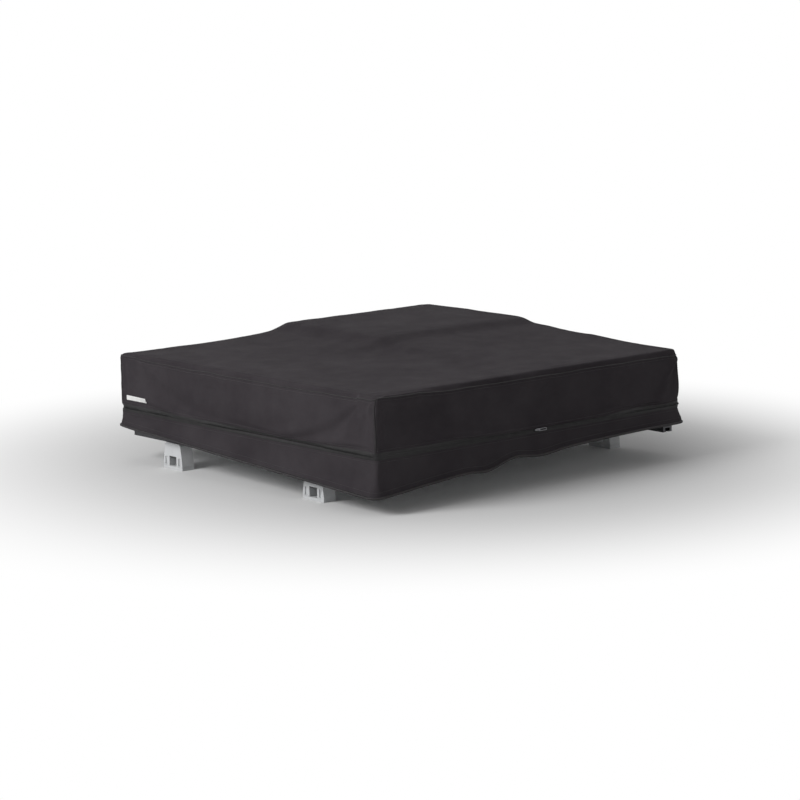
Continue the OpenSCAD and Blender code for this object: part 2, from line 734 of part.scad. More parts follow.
lid_rim = concat([for (i = [0:lid_nx - 1]) [i, 0]], [for (j = [0:lid_ny - 1]) [lid_nx, j]],
    [for (i = [0:lid_nx - 1]) [lid_nx - i, lid_ny]], [for (j = [0:lid_ny - 1]) [0, lid_ny - j]]);

// Moves a point of a plain rectangle to where it lies on one with rounded corners.
function bent(x, y, hx, hy, r) =
    let (u = (abs(x) - hx + r) / r, v = (abs(y) - hy + r) / r)
    u <= 0 || v <= 0 ? [x, y] :
    [sign(x) * (hx - r + r * u * sqrt(1 - v * v / 2)), sign(y) * (hy - r + r * v * sqrt(1 - u * u / 2))];

// All points of the lid, line by line, at an inset from the outside size.
function lid_plan(inset) =
    let (hx = cover_x / 2 - inset, hy = cover_y / 2 - inset, r = max(8, cover_r - inset),
         xs = lid_lines(hx, r, lid_mids_x), ys = lid_lines(hy, r, lid_mids_y))
    [for (j = [0:lid_ny]) for (i = [0:lid_nx]) bent(xs[i], ys[j], hx, hy, r)];
function lid_index(ij) = ij[1] * (lid_nx + 1) + ij[0];
function edge_top(p) = top_at(p[0] * 0.98, p[1] * 0.98);
function lid_wall(inset, t, drop) = let (plan = lid_plan(inset + t))
    [for (k = lid_rim) let (p = plan[lid_index(k)]) [p[0], p[1], edge_top(p) - drop - t]];
function lid_band(inset, t, z) = let (plan = lid_plan(inset + t))
    [for (k = lid_rim) let (p = plan[lid_index(k)]) [p[0], p[1], z]];

// One face of the lid: the grid of its top, then the rings of its wall downwards.
function lid_points(t) = concat(
    [for (p = lid_plan(edge_inset + t)) [p[0], p[1], edge_top(p) - t]],
    lid_wall(wall_inset_top + 1, t, 9), lid_wall(wall_inset_top, t, 34),
    lid_band(wall_inset_mid, t, lid_mid_z), lid_band(zip_inset, t, zip_z + zip_w / 2 + fit));
lid_wall_rings = 4;

function skirt_rings(t) = concat(
    [for (l = [[0, 2], [lip_h, 0]]) [for (p = cover_ring(l[1] + t)) [p[0], p[1], hem_at(p[0], p[1]) + l[0]]]],
    [for (l = [[0.55, 0.62], [1, 1]]) [for (p = cover_ring(zip_inset * l[1] + t))
        [p[0], p[1], mix(hem_at(p[0], p[1]) + lip_h, zip_z - zip_w / 2 - fit, l[0])]]]);

function turned(list) = [for (i = [len(list) - 1:-1:0]) list[i]];
function flipped(faces) = [for (f = faces) [f[0], f[2], f[1]]];

module cover_lid() {
    n = len(lid_rim);
    grid = (lid_nx + 1) * (lid_ny + 1);
    side = grid + lid_wall_rings * n;
    function at(ring, k) = ring == 0 ? lid_index(lid_rim[k % n]) : grid + (ring - 1) * n + k % n;
    top = [for (j = [0:lid_ny - 1]) for (i = [0:lid_nx - 1])
        let (a = lid_index([i, j]), b = lid_index([i + 1, j]),
             c = lid_index([i + 1, j + 1]), d = lid_index([i, j + 1]))
        each [[a, d, c], [a, c, b]]];
    wall = [for (ring = [0:lid_wall_rings - 1]) for (k = [0:n - 1])
        each [[at(ring, k), at(ring, k + 1), at(ring + 1, k + 1)],
              [at(ring, k), at(ring + 1, k + 1), at(ring + 1, k)]]];
    lip = [for (k = [0:n - 1])
        let (a = at(lid_wall_rings, k), b = at(lid_wall_rings, k + 1))
        each [[a, b, side + b], [a, side + b, side + a]]];
    outer = concat(top, wall);
    inner = [for (f = flipped(outer)) [f[0] + side, f[1] + side, f[2] + side]];
    color([0.13, 0.12, 0.125])
        polyhedron(points = concat(lid_points(0), lid_points(cover_t)),
            faces = concat(outer, inner, lip), convexity = 8);
}

module cover_skirt() {
    color([0.13, 0.12, 0.125]) skin(concat(turned(skirt_rings(cover_t)), skirt_rings(0)), loop = true);
}

module cover_zip() {
    low = zip_z - zip_w / 2;
    high = zip_z + zip_w / 2;
    t = cover_t * 0.8;
    color([0.06, 0.06, 0.06]) skin([
        at_level(cover_ring(zip_inset + t), high), at_level(cover_ring(zip_inset + t), low),
        at_level(cover_ring(zip_inset), low), at_level(cover_ring(zip_inset), high)], loop = true);
}

module zip_slider() {
    y = -cover_y / 2 + zip_inset - fit;
    color("gray") {
        translate([-slider_l / 2, y - slider_t, zip_z - slider_h / 2]) cube([slider_l, slider_t, slider_h]);
        translate([slider_l / 2 - 3, y - slider_t - tab_t, zip_z - tab_h / 2]) cube([tab_l, tab_t, tab_h]);
    }
}

// Plain woven tag on the side of the lid.
module cover_label() {
    slope = atan((zip_inset - wall_inset_mid) / (lid_mid_z - zip_z));
    inset = mix(zip_inset, wall_inset_mid, (label_z - zip_z) / (lid_mid_z - zip_z));
    color("white") translate([inset - cover_x / 2 - fit, label_y, label_z]) rotate([0, -slope, 0])
        translate([-label_t, -label_l / 2, -label_h / 2]) cube([label_t, label_l, label_h]);
}

color(frame_black) drilled_side_rails();  // lower_side_rails
color(frame_black) drilled_end_rails();  // lower_end_rails
color("gray") half_corner_keys();  // lower_corner_keys
color("whitesmoke") half_floor_panel();  // lower_floor_panel
color("slategray") half_mattress();  // lower_mattress
mount_rails();
rail_screws();
lower_hinge_plates();
hinge_bolts(lower_plate_y + plate_t);  // lower_hinge_bolts
hinge_pins();
color(frame_black) on_upper_half() drilled_side_rails();  // upper_side_rails
color(frame_black) on_upper_half() half_end_rails();  // upper_end_rails
color("gray") on_upper_half() half_corner_keys();  // upper_corner_keys
color("whitesmoke") on_upper_half() half_floor_panel();  // upper_floor_panel
color("slategray") on_upper_half() half_mattress();  // upper_mattress
upper_hinge_plates();
on_upper_half() hinge_bolts(upper_plate_y + plate_t);  // upper_hinge_bolts
ladder_brackets();
ladder_pins();
hoop_tube(0);  // hoop_low_tube
hoop_knuckles(0);  // hoop_low_knuckles
hoop_tube(1);  // hoop_mid_tube
hoop_knuckles(1);  // hoop_mid_knuckles
hoop_tube(2);  // hoop_high_tube
hoop_knuckles(2);  // hoop_high_knuckles
canopy();
ladder_section(0);  // ladder_section_1
ladder_section(1);  // ladder_section_2
ladder_section(2);  // ladder_section_3
ladder_section(3);  // ladder_section_4
ladder_section(4);  // ladder_section_5
ladder_section(5);  // ladder_section_6
ladder_feet();
cover_lid();
cover_skirt();
cover_zip();
zip_slider();
cover_label();
for (place = [["front_left", -1, -1], ["front_right", 1, -1], ["rear_left", -1, 1], ["rear_right", 1, 1]]) {
    clamp_saddle(place[1], place[2]);
    clamp_pad(place[1], place[2]);
    clamp_nuts(place[1], place[2]);
    clamp_keeper(place[1], place[2]);
    clamp_bolts(place[1], place[2]);
}
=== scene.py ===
# %% [markdown]
# # A folded roof top tent
# The tent is packed for travel: two hinged base halves lie face to face with the mattress and the folded
# canopy between them, a telescopic ladder lies on top, and a coated fabric cover is zipped round it all.
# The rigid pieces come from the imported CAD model. This lesson dresses them, and makes the soft ones: the
# cover, which is a cloth that is really draped, the mattress and the canopy.

# %% Load the frame
import json
import math

import bmesh
import bpy
import numpy as np
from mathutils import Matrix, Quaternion, Vector, noise
from mathutils.bvhtree import BVHTree


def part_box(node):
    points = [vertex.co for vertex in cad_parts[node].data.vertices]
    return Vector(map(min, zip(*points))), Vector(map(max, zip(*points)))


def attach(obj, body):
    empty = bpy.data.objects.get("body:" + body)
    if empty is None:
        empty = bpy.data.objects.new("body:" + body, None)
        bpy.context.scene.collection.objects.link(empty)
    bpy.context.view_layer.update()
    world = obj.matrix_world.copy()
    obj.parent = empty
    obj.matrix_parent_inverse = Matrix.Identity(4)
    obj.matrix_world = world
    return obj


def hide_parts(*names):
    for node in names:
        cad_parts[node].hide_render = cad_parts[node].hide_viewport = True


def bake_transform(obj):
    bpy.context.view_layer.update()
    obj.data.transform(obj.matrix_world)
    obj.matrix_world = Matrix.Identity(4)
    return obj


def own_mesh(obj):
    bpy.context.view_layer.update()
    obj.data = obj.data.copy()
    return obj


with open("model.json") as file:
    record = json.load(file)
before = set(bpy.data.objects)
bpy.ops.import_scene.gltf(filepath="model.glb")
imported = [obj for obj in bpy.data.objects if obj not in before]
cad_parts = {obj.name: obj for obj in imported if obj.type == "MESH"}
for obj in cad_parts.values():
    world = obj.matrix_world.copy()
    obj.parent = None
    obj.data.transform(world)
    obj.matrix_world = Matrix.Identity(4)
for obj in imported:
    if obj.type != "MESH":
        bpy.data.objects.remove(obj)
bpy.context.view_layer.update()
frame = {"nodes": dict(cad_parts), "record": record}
scene = bpy.context.scene
scene.view_settings.view_transform = "Standard"

# %% [markdown]
# ## Camera
# The camera looks from the side where the hinge is, a little above the lid, at the distance that gives
# the photographed perspective. A long lens then fills the frame with the tent alone. The lens is worked
# out from a focal length in pixels of an 800 pixel wide picture, so it doesn't depend on Blender's own
# render size. In the photograph the tent lies up and left of the lens axis, which tips level lines a
# little. A small roll of the camera gives about the same tip, and a shifted lens isn't needed.

# %% Camera
def put(name, data):
    """A new object in the scene that shows some data."""
    obj = bpy.data.objects.new(name, data)
    scene.collection.objects.link(obj)
    return obj


FOCAL_PIXELS, PICTURE, SENSOR = 2760, 800, 36
AIM = Vector((0.0, 0.0, 0.192))
ROLL = math.radians(0.75)
camera_data = bpy.data.cameras.new("camera")
camera_data.sensor_fit = "HORIZONTAL"
camera_data.sensor_width = SENSOR
camera_data.lens = SENSOR * FOCAL_PIXELS / PICTURE
camera = put("camera", camera_data)
camera.location = (-5.765, -6.538, 1.665)
facing = (AIM - camera.location).to_track_quat("-Z", "Y")
camera.rotation_euler = (facing @ Quaternion((0, 0, 1), -ROLL)).to_euler()
scene.camera = camera
print("lens", round(camera_data.lens, 1), "mm")

# %% [markdown]
# ## Small helpers for shader trees
# A finish is a node tree, mostly on Object coordinates, so a pattern has a real size in metres and stays
# on the piece from every side. `wire` makes a node and hands it back, and `feed` sets inputs by name,
# which keeps the trees below short enough to read.

# %% Shader helpers
def new_finish(name):
    mat = bpy.data.materials.new(name)
    mat.use_nodes = True
    tree = mat.node_tree
    shader = tree.nodes["Principled BSDF"]
    return mat, tree, shader


def feed(tree, n, **inputs):
    """Sets a node's inputs, by name or by place as in i0, to a value, an output, or a node's first output."""
    for key, value in inputs.items():
        socket = n.inputs[int(key[1:]) if key[0] == "i" and key[1:].isdigit() else key.replace("_", " ")]
        if isinstance(value, bpy.types.Node):
            value = value.outputs[0]
        if isinstance(value, bpy.types.NodeSocket):
            tree.links.new(value, socket)
        else:
            socket.default_value = value


def wire(tree, kind, settings=None, **inputs):
    n = tree.nodes.new(kind)
    for key, value in (settings or {}).items():
        setattr(n, key, value)
    feed(tree, n, **inputs)
    return n


def joined(tree, operation, parts):
    """Values put together, two at a time, by one operation."""
    whole = parts[0]
    for part in parts[1:]:
        whole = wire(tree, "ShaderNodeMath", {"operation": operation}, i0=whole, i1=part)
    return whole


def speckle(tree, where, scale, detail=4.0, rough=0.55):
    return wire(tree, "ShaderNodeTexNoise", Vector=where, Scale=scale, Detail=detail, Roughness=rough)


def two_tone(tree, factor, dark, light, low=0.3, high=0.7):
    ramp = wire(tree, "ShaderNodeValToRGB", Fac=factor)
    for stop, place, colour in zip(ramp.color_ramp.elements, (low, high), (dark, light)):
        stop.position = place
        stop.color = (*colour, 1)
    return ramp


def spread(tree, factor, low, high):
    return wire(tree, "ShaderNodeMapRange", Value=factor, To_Min=low, To_Max=high)


def bump(tree, height, strength, distance, under=None):
    inputs = dict(Height=height, Strength=strength, Distance=distance)
    if under is not None:
        inputs["Normal"] = under
    return wire(tree, "ShaderNodeBump", **inputs)


def object_space(tree):
    return wire(tree, "ShaderNodeTexCoord").outputs["Object"]


# %% [markdown]
# ## Floor and light
# A plain pale floor and a big soft light. The world is dim as a lamp but white to the camera, so the
# background is white without more light on the object. Near the tent the floor is plain paper and takes
# its shadow, and further out it turns to the same white for the camera, so no edge of it shows. The main
# lamp is high on the hinge side: in the photograph that side and the lid are lit, and the front wall is
# darker.

# %% Floor and world
def link(name, points, faces, finish=None, smooth=True):
    """A new mesh object from points and faces."""
    mesh = bpy.data.meshes.new(name)
    mesh.from_pydata([tuple(p) for p in points], [], faces)
    mesh.update()
    if smooth:
        mesh.polygons.foreach_set("use_smooth", [True] * len(mesh.polygons))
    if finish:
        mesh.materials.append(finish)
    return put(name, mesh)


def direct_rays(tree):
    """1 for rays that the camera, a mirror or a clear material sends, 0 for the rays that light a surface."""
    path = wire(tree, "ShaderNodeLightPath").outputs
    kinds = ("Camera", "Glossy", "Transmission")
    return joined(tree, "MAXIMUM", [path["Is %s Ray" % kind] for kind in kinds])


FLOOR_HALF, FLOOR_DROP = 30, 0.0004
# Distances from the middle between which the floor turns white, and the world's light as a lamp
FADE_FROM, FADE_TO, WORLD_LIGHT = 0.75, 1.9, 0.26
floor_corners = [(FLOOR_HALF * u, FLOOR_HALF * v, 0) for u, v in ((-1, -1), (1, -1), (1, 1), (-1, 1))]
floor_mat, tree, shader = new_finish("floor_paper")
feed(tree, shader, Base_Color=(0.86, 0.86, 0.86, 1), Roughness=0.9, Specular_IOR_Level=0.1)
away = wire(tree, "ShaderNodeVectorMath", {"operation": "LENGTH"}, i0=object_space(tree)).outputs["Value"]
fade = wire(tree, "ShaderNodeMapRange", {"interpolation_type": "SMOOTHSTEP"}, Value=away,
            From_Min=FADE_FROM, From_Max=FADE_TO)
share = joined(tree, "MULTIPLY", [fade, direct_rays(tree)])
glow = wire(tree, "ShaderNodeEmission", Strength=1.0)
mixed = wire(tree, "ShaderNodeMixShader", Fac=share, i1=shader, i2=glow)
feed(tree, tree.nodes["Material Output"], Surface=mixed)
floor = link("floor", floor_corners, [(0, 1, 2, 3)], floor_mat, smooth=False)
floor.location = (0, 0, -FLOOR_DROP)

world = bpy.data.worlds.new("studio")
scene.world = world
world.use_nodes = True
tree = world.node_tree
feed(tree, tree.nodes["Background"], Color=(1, 1, 1, 1),
     Strength=spread(tree, direct_rays(tree), WORLD_LIGHT, 1.0))
print("floor and world made")

# %% Lamps
LAMP_AIM = Vector((0, 0, 0.2))


def soft_lamp(name, place, size, watts):
    data = bpy.data.lights.new(name, "AREA")
    data.shape = "DISK"
    data.size = size
    data.energy = watts
    lamp = put(name, data)
    lamp.location = place
    lamp.rotation_euler = (LAMP_AIM - Vector(place)).to_track_quat("-Z", "Y").to_euler()


soft_lamp("key", (-5.2, 0.6, 3.2), 2.6, 222)
soft_lamp("top", (0.6, 1.6, 6.0), 3.4, 6)
soft_lamp("front", (1.6, -6.5, 2.4), 3.0, 18)

# %% [markdown]
# ## Finish of the cover cloth
# The cover is a heavy woven polyester with a matt coating: almost black, a trace warm, with a fine grain,
# a faint cloudiness where it has been handled, and hardly any gloss. The weave is far finer than a pixel
# from where the tent is seen, so it is a small bump, and the visible relief comes from the cloth itself.

# %% Cover cloth finish
def coated_cloth(name, dark, light, grain=900.0, rough=(0.70, 0.88)):
    mat, tree, shader = new_finish(name)
    where = object_space(tree)
    cloud = speckle(tree, where, 7.0, 5.0, 0.6)
    across = wire(tree, "ShaderNodeTexWave", {"wave_type": "BANDS", "bands_direction": "DIAGONAL"},
                  Vector=where, Scale=grain * 0.3, Distortion=1.5, Detail=1.0)
    fine = bump(tree, across.outputs["Fac"], 0.25, 0.0004)
    crumple = bump(tree, speckle(tree, where, 60.0, 6.0, 0.6), 0.35, 0.0016, fine)
    feed(tree, shader, Base_Color=two_tone(tree, cloud, dark, light), Normal=crumple, Specular_IOR_Level=0.06,
         Roughness=spread(tree, speckle(tree, where, 16.0, 3.0), *rough))
    return mat


cover_finish = coated_cloth("charcoal_cover_cloth", (0.034, 0.0295, 0.0335), (0.048, 0.0425, 0.047))
print("made", cover_finish.name)

# %% [markdown]
# ## Shape of the cover before it is draped
# A cover like this is sewn as a flat lid and a tall wall, with a drawn-in zip line and a loose skirt
# below. The lid is a grid of cells about 12 mm wide, so the cloth solver has even cells to fold. Near
# each corner the grid is bent into a quarter circle. The wall is the grid's rim, carried down ring by
# ring. The sizes are read from the frame, so the cloth follows the CAD model if that changes.

# %% Cover sizes and height of the lid
def low(axis, *nodes):
    return min(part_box(n)[0][axis] for n in nodes)


def high(axis, *nodes):
    return max(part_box(n)[1][axis] for n in nodes)


LADDER = ["ladder_section_%d" % n for n in range(1, 7)] + ["ladder_feet"]
CORNER, WALL_INSET, SHOULDER = 0.034, 0.004, 0.030
# Run and power of the slopes beside the ladder: slack towards the hinge, straighter towards the front
HUMP_RAMP_X, HUMP_POWER_X = 0.400, 1.9
HUMP_RAMP_Y, HUMP_POWER_Y = 0.640, 1.15
# The last share of the rise comes as a short step, where the cloth turns over the ladder's edge
STEP_SHARE, STEP_RUN = 0.34, 0.075
HEM_DROOP, HEM_SLACK, LADDER_ROOM, LID_ROOM = 0.066, 0.008, 0.022, 0.0028
HALF_X, HALF_Y = high(0, "cover_skirt"), high(1, "cover_skirt")
LID_Z, HUMP_Z = high(2, "upper_side_rails") + LID_ROOM, high(2, "cover_lid")
ZIP_Z = (low(2, "cover_zip") + high(2, "cover_zip")) / 2
HEM_Z = low(2, "cover_skirt") + HEM_DROOP - HEM_SLACK
HUMP_X = low(0, *LADDER) - LADDER_ROOM
HUMP_Y, HUMP_END = low(1, *LADDER) - LADDER_ROOM, high(1, *LADDER) + LADDER_ROOM


def ease(a, b, v):
    t = min(1.0, max(0.0, (v - a) / (b - a)))
    return t * t * (3 - 2 * t)


# Distances from the front between which the hem's slips set in, then each slip: (x, half width, drop)
SLIP_FROM, SLIP_TO = 0.05, 0.01
HEM_SLIPS = ((-0.215, 0.055, 0.011), (-0.095, 0.060, -0.009), (0.020, 0.070, 0.006))


def hem_height(x, y):
    """Height of the hem: it hangs lower towards the slack corner, and waves a little along the front."""
    droop = HEM_DROOP * ((HALF_Y - y) / (2 * HALF_Y)) * ((HALF_X - x) / (2 * HALF_X)) ** 2
    slip = sum(drop * math.exp(-((x - at) / half) ** 2) for at, half, drop in HEM_SLIPS)
    return HEM_Z - droop - slip * ease(SLIP_FROM - HALF_Y, SLIP_TO - HALF_Y, y)


def sag(edge, run, v, power):
    """The slope of slack cloth up to an edge: flat where it starts, then steeper, with a step at the edge."""
    slope = min(1.0, max(0.0, (v - edge + run) / run)) ** power
    return slope * (1 - STEP_SHARE) + STEP_SHARE * ease(edge - STEP_RUN, edge, v)


def lid_height(x, y):
    rise = sag(HUMP_X, HUMP_RAMP_X, x, HUMP_POWER_X)
    rise *= sag(HUMP_Y, HUMP_RAMP_Y, y, HUMP_POWER_Y) * ease(HALF_Y, HUMP_END, y)
    return LID_Z + (HUMP_Z - LID_Z) * rise


def round_corner(x, y, hx, hy, r):
    """Moves a point of a plain rectangle to where it lies on one with rounded corners."""
    u, v = (abs(x) - (hx - r)) / r, (abs(y) - (hy - r)) / r
    if u <= 0 or v <= 0:
        return x, y
    px, py = hx - r + r * u * math.sqrt(1 - v * v / 2), hy - r + r * v * math.sqrt(1 - u * u / 2)
    return math.copysign(px, x), math.copysign(py, y)


print("hem at the slack corner:", round(hem_height(-HALF_X, -HALF_Y), 3), "m")

# %% Cover grid
CELLS_X, CELLS_Y = 110, 106
# Least corner radius in plan, and how far in, as a share, the lid's height is read
LEAST_CORNER, LID_IN = 0.006, 0.98


def rim_indices(nx, ny):
    """Grid points round the rim, anticlockwise from the corner at low x and low y."""
    run = [(i, 0) for i in range(nx)] + [(nx, j) for j in range(ny)]
    return run + [(nx - i, ny) for i in range(nx)] + [(0, ny - j) for j in range(ny)]


def grid_quads(columns, rows):
    """Cells of a grid of points that are numbered row by row."""
    row = columns + 1
    return [(a, a + 1, a + row + 1, a + row) for j in range(rows) for a in range(j * row, j * row + columns)]


def ring_quads(loops):
    """Cells between closed rings of points, each ring below the one before it."""
    cells = []
    for above, below in zip(loops, loops[1:]):
        for k in range(len(above)):
            m = (k + 1) % len(above)
            cells.append((above[k], below[k], below[m], above[m]))
    return cells


# Turn of the cloth at each ring of the soft edge between lid and wall, in degrees
SHOULDER_TURNS = (15, 30, 45, 60, 75, 90)


def plan_place(i, j, inset):
    """Where a grid point lies in plan when the cover's outline is drawn in by an inset."""
    hx, hy = HALF_X - inset, HALF_Y - inset
    x, y = hx * (2 * i / CELLS_X - 1), hy * (2 * j / CELLS_Y - 1)
    return round_corner(x, y, hx, hy, max(CORNER - inset, LEAST_CORNER))


def cover_mesh():
    """Lid grid and wall rings. Returns points, faces, the rings and which ring is the zip line."""
    points, at = [], {}
    for j in range(CELLS_Y + 1):
        for i in range(CELLS_X + 1):
            x, y = plan_place(i, j, WALL_INSET + SHOULDER)
            at[i, j] = len(points)
            points.append((x, y, lid_height(x * LID_IN, y * LID_IN)))
    rings = [[at[k] for k in rim_indices(CELLS_X, CELLS_Y)]]
    shoulder = [(SHOULDER * (1 - math.cos(a)), WALL_INSET + SHOULDER * (1 - math.sin(a)))
                for a in map(math.radians, SHOULDER_TURNS)]
    # (share of the way from the soft edge down to the zip, inset there), then the same from zip to hem
    upper = [(0.08, 0.0035), (0.16, 0.0035), (0.24, 0.004), (0.32, 0.005), (0.40, 0.006), (0.48, 0.007),
             (0.56, 0.008), (0.64, 0.009), (0.72, 0.010), (0.79, 0.011), (0.86, 0.0125), (0.93, 0.0135),
             (1.0, 0.014)]
    lower = [(0.12, 0.0132), (0.25, 0.0110), (0.38, 0.0088), (0.51, 0.0066), (0.64, 0.0040), (0.76, 0.0012),
             (0.88, 0.0), (1.0, 0.002)]
    for part, steps in (("shoulder", shoulder), ("upper", upper), ("lower", lower)):
        for share, inset in steps:
            ring = []
            for (i, j) in rim_indices(CELLS_X, CELLS_Y):
                x, y = plan_place(i, j, inset)
                top, hem = lid_height(x * LID_IN, y * LID_IN), hem_height(x, y)
                foot = top - SHOULDER
                z = {"shoulder": top - share, "upper": foot + (ZIP_Z - foot) * share,
                     "lower": ZIP_Z + (hem - ZIP_Z) * share}[part]
                ring.append(len(points))
                points.append((x, y, z))
            rings.append(ring)
    return points, grid_quads(CELLS_X, CELLS_Y) + ring_quads(rings), rings, len(shoulder) + len(upper)


points, faces, rings, zip_ring = cover_mesh()
print("cover cells:", len(faces), "rings:", len(rings))

# %% [markdown]
# ## Draping the cover
# Folds in a real cover come from cloth that is a little larger than what it covers. So the sewn shape
# gets a second shape key, the pattern: its walls are cut a few per cent taller than the space they fill,
# and the lid a trace wider. Blender's cloth solver takes the pattern as the cloth at rest, lets it fall
# onto plain stand-ins for the base halves and the ladder, and holds it where the zip and the hem cord
# hold it. Taller walls buckle into level folds, as a slack cover does. The stand-ins are removed
# afterwards, and nothing is left to simulate.

# %% Stand-ins under the cloth
CLOTH_GAP = 0.0015
BOX_FACES = [(0, 2, 3, 1), (4, 5, 7, 6), (0, 1, 5, 4), (2, 6, 7, 3), (0, 4, 6, 2), (1, 3, 7, 5)]


def stand_in(low, high):
    corners = [(x, y, z) for z in (low[2], high[2]) for y in (low[1], high[1]) for x in (low[0], high[0])]
    return make_solid(link("stand_in", corners, BOX_FACES, smooth=False))


def make_solid(obj):
    obj.modifiers.new("solid", "COLLISION")
    obj.collision.thickness_outer = CLOTH_GAP
    obj.collision.cloth_friction = 12
    return obj


def load_under_lid(cells=44, gap=0.0035, inset=0.032):
    """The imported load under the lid: the flat upper half, the ladder and the slope beside it."""
    hx, hy = HALF_X - inset, HALF_Y - inset
    line = [2 * k / cells - 1 for k in range(cells + 1)]
    spots = [(hx * u, hy * v, lid_height(hx * u, hy * v) - gap) for v in line for u in line]
    return make_solid(link("stand_in", spots, grid_quads(cells, cells)))


# Room that the cloth keeps outside the hinges, and how far in from the walls they reach
HINGE_ROOM, HINGE_DEPTH = 0.003, 0.070
# Past the hinge plates the cloth is let down in steps: their count and length, and the fall and draw of each
TAIL_STEPS, TAIL_LONG, TAIL_FALL, TAIL_DRAW = 5, 0.025, 0.005, 0.003


def add_cloth(obj, held, **settings):
    """Adds the cloth solver to obj, with a weight for each point that is held."""
    group = obj.vertex_groups.new(name="held")
    for index, weight in held.items():
        group.add([index], weight, "REPLACE")
    cloth = obj.modifiers.new("cloth", "CLOTH")
    for key, value in settings.items():
        setattr(cloth.settings, key, value)
    cloth.settings.vertex_group_mass = "held"
    return cloth


def run_cloth(obj, cloth, frames):
    """Runs the solver of a cloth modifier, removes it, and returns the place of each point at the end."""
    cloth.point_cache.frame_start = 1
    cloth.point_cache.frame_end = frames
    for f in range(1, frames + 1):
        scene.frame_set(f)
    shown = obj.evaluated_get(bpy.context.evaluated_depsgraph_get())
    result = np.array([v.co for v in shown.data.vertices])
    obj.modifiers.remove(cloth)
    scene.frame_set(1)
    return result


def drape(obj, pattern, held, frames=34):
    """Drapes obj, cut to pattern, over the stand-ins, and returns the place of each of its points."""
    obj.shape_key_add(name="sewn")
    cut = obj.shape_key_add(name="pattern")
    cut.data.foreach_set("co", pattern.ravel())
    under = [stand_in(*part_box(n)) for n in ("lower_side_rails", "upper_side_rails", "canopy")]
    under.append(load_under_lid())
    hinge = [n + "_hinge_" + p for n in ("lower", "upper") for p in ("plates", "bolts")]
    hinge += ["hinge_pins"] + ["hoop_%s_knuckles" % n for n in ("low", "mid", "high")]
    left, right = low(0, *hinge) - HINGE_ROOM, high(0, *hinge)
    foot, head, out = low(2, *hinge), high(2, *hinge), high(1, *hinge) + HINGE_ROOM
    inner = out - HINGE_DEPTH
    for n in range(TAIL_STEPS + 1):
        near, far = (right + (n - 1) * TAIL_LONG if n else left), right + n * TAIL_LONG
        top, wide = head - n * TAIL_FALL, out - n * TAIL_DRAW
        under.append(stand_in((near, -wide, foot), (far, -inner, top)))
        under.append(stand_in((near, inner, foot), (far, wide, top)))
    cloth = add_cloth(obj, held, quality=6, mass=0.30, tension_stiffness=30, compression_stiffness=30,
                      shear_stiffness=12, bending_stiffness=0.4, tension_damping=12, compression_damping=12,
                      shear_damping=12, bending_damping=2, air_damping=6, rest_shape_key=cut, pin_stiffness=1)
    cloth.collision_settings.distance_min = CLOTH_GAP
    cloth.collision_settings.collision_quality = 3
    result = run_cloth(obj, cloth, frames)
    for thing in under:
        bpy.data.objects.remove(thing, do_unlink=True)
    return result


# %% Run the drape
LID_EASE, WALL_EASE, SKIRT_EASE = 0.006, 0.045, 0.06
EDGE_HOLD, ZIP_HOLD, HEM_HOLD = 0.25, 1.0, 0.9
# Spare cloth near two corners: (axis, from, to, spare length along it, start and end on the other axis)
SPARE = ((1, -0.32, -0.59, -0.013, 0.05, 0.40), (1, -0.44, -0.60, -0.009, -0.25, -0.58),
         (0, -0.46, -0.62, -0.008, -0.30, -0.56), (0, -0.30, -0.60, -0.007, 0.10, -0.25))
# Uneven start of the lid and of the walls, depth of the lid's edge, and the share of the way out that is wall
LID_SEED, WALL_SEED, EDGE_DEEP, WALL_FROM = 0.004, 0.006, 0.012, 0.97
start = np.array(points)
seed = np.array([[0.0, 0.0, LID_SEED * noise.noise(Vector(p) * 9.0)] for p in points])
side = np.array([noise.noise(Vector((p[0] * 7, p[1] * 7, p[2] * 13 + 5))) for p in points])
below_edge = (start[:, 2] < LID_Z - EDGE_DEEP)[:, None]
lean = [np.sign(start[:, axis]) * (np.abs(start[:, axis]) / half > WALL_FROM)
        for axis, half in enumerate((HALF_X, HALF_Y))]
lean = np.stack(lean + [np.zeros(len(start))], axis=1)
seed = np.where(below_edge, lean * side[:, None] * WALL_SEED, seed)
for k in rings[zip_ring] + rings[-1]:
    seed[k] = 0
cloth_start = link("cover_cloth", start + seed, faces)
held = {k: EDGE_HOLD for ring in rings[2:len(SHOULDER_TURNS)] for k in ring}
held.update({k: ZIP_HOLD for k in rings[zip_ring]})
held.update({k: HEM_HOLD for k in rings[-1]})
pattern = start * np.array([1 + LID_EASE, 1 + LID_EASE, 1.0])
for axis, a, b, spare, c, d in SPARE:
    pattern[:, axis] += [spare * ease(a, b, p[axis]) * ease(c, d, p[1 - axis]) for p in points]
above = start[:, 2] > ZIP_Z
pattern[:, 2] = ZIP_Z + (start[:, 2] - ZIP_Z) * np.where(above, 1 + WALL_EASE, 1 + SKIRT_EASE)
draped = drape(cloth_start, pattern, held)
moved = draped - start
far = np.linalg.norm(moved, axis=1)
print("cloth moved: mean %.1f mm, most %.1f mm" % (far.mean() * 1000, far.max() * 1000))
bpy.data.objects.remove(cloth_start, do_unlink=True)

# %% Cut the cloth at the zip
lid_faces = [f for f in faces if max(f) < rings[zip_ring][-1] + 1]
skirt_faces = [f for f in faces if max(f) > rings[zip_ring][-1]]


def smoothed(obj):
    """Gives a cloth piece one level of smoothing."""
    fine = obj.modifiers.new("smooth", "SUBSURF")
    fine.levels = fine.render_levels = 1
    return obj


def cut_piece(name, kept):
    """A mesh of some of the cover's cells, with only the points that they use."""
    used = sorted({k for f in kept for k in f})
    new = {k: n for n, k in enumerate(used)}
    return smoothed(link(name, draped[used], [tuple(new[k] for k in f) for f in kept], cover_finish))


def sheet_area(obj):
    return sum(p.area for p in obj.data.polygons)


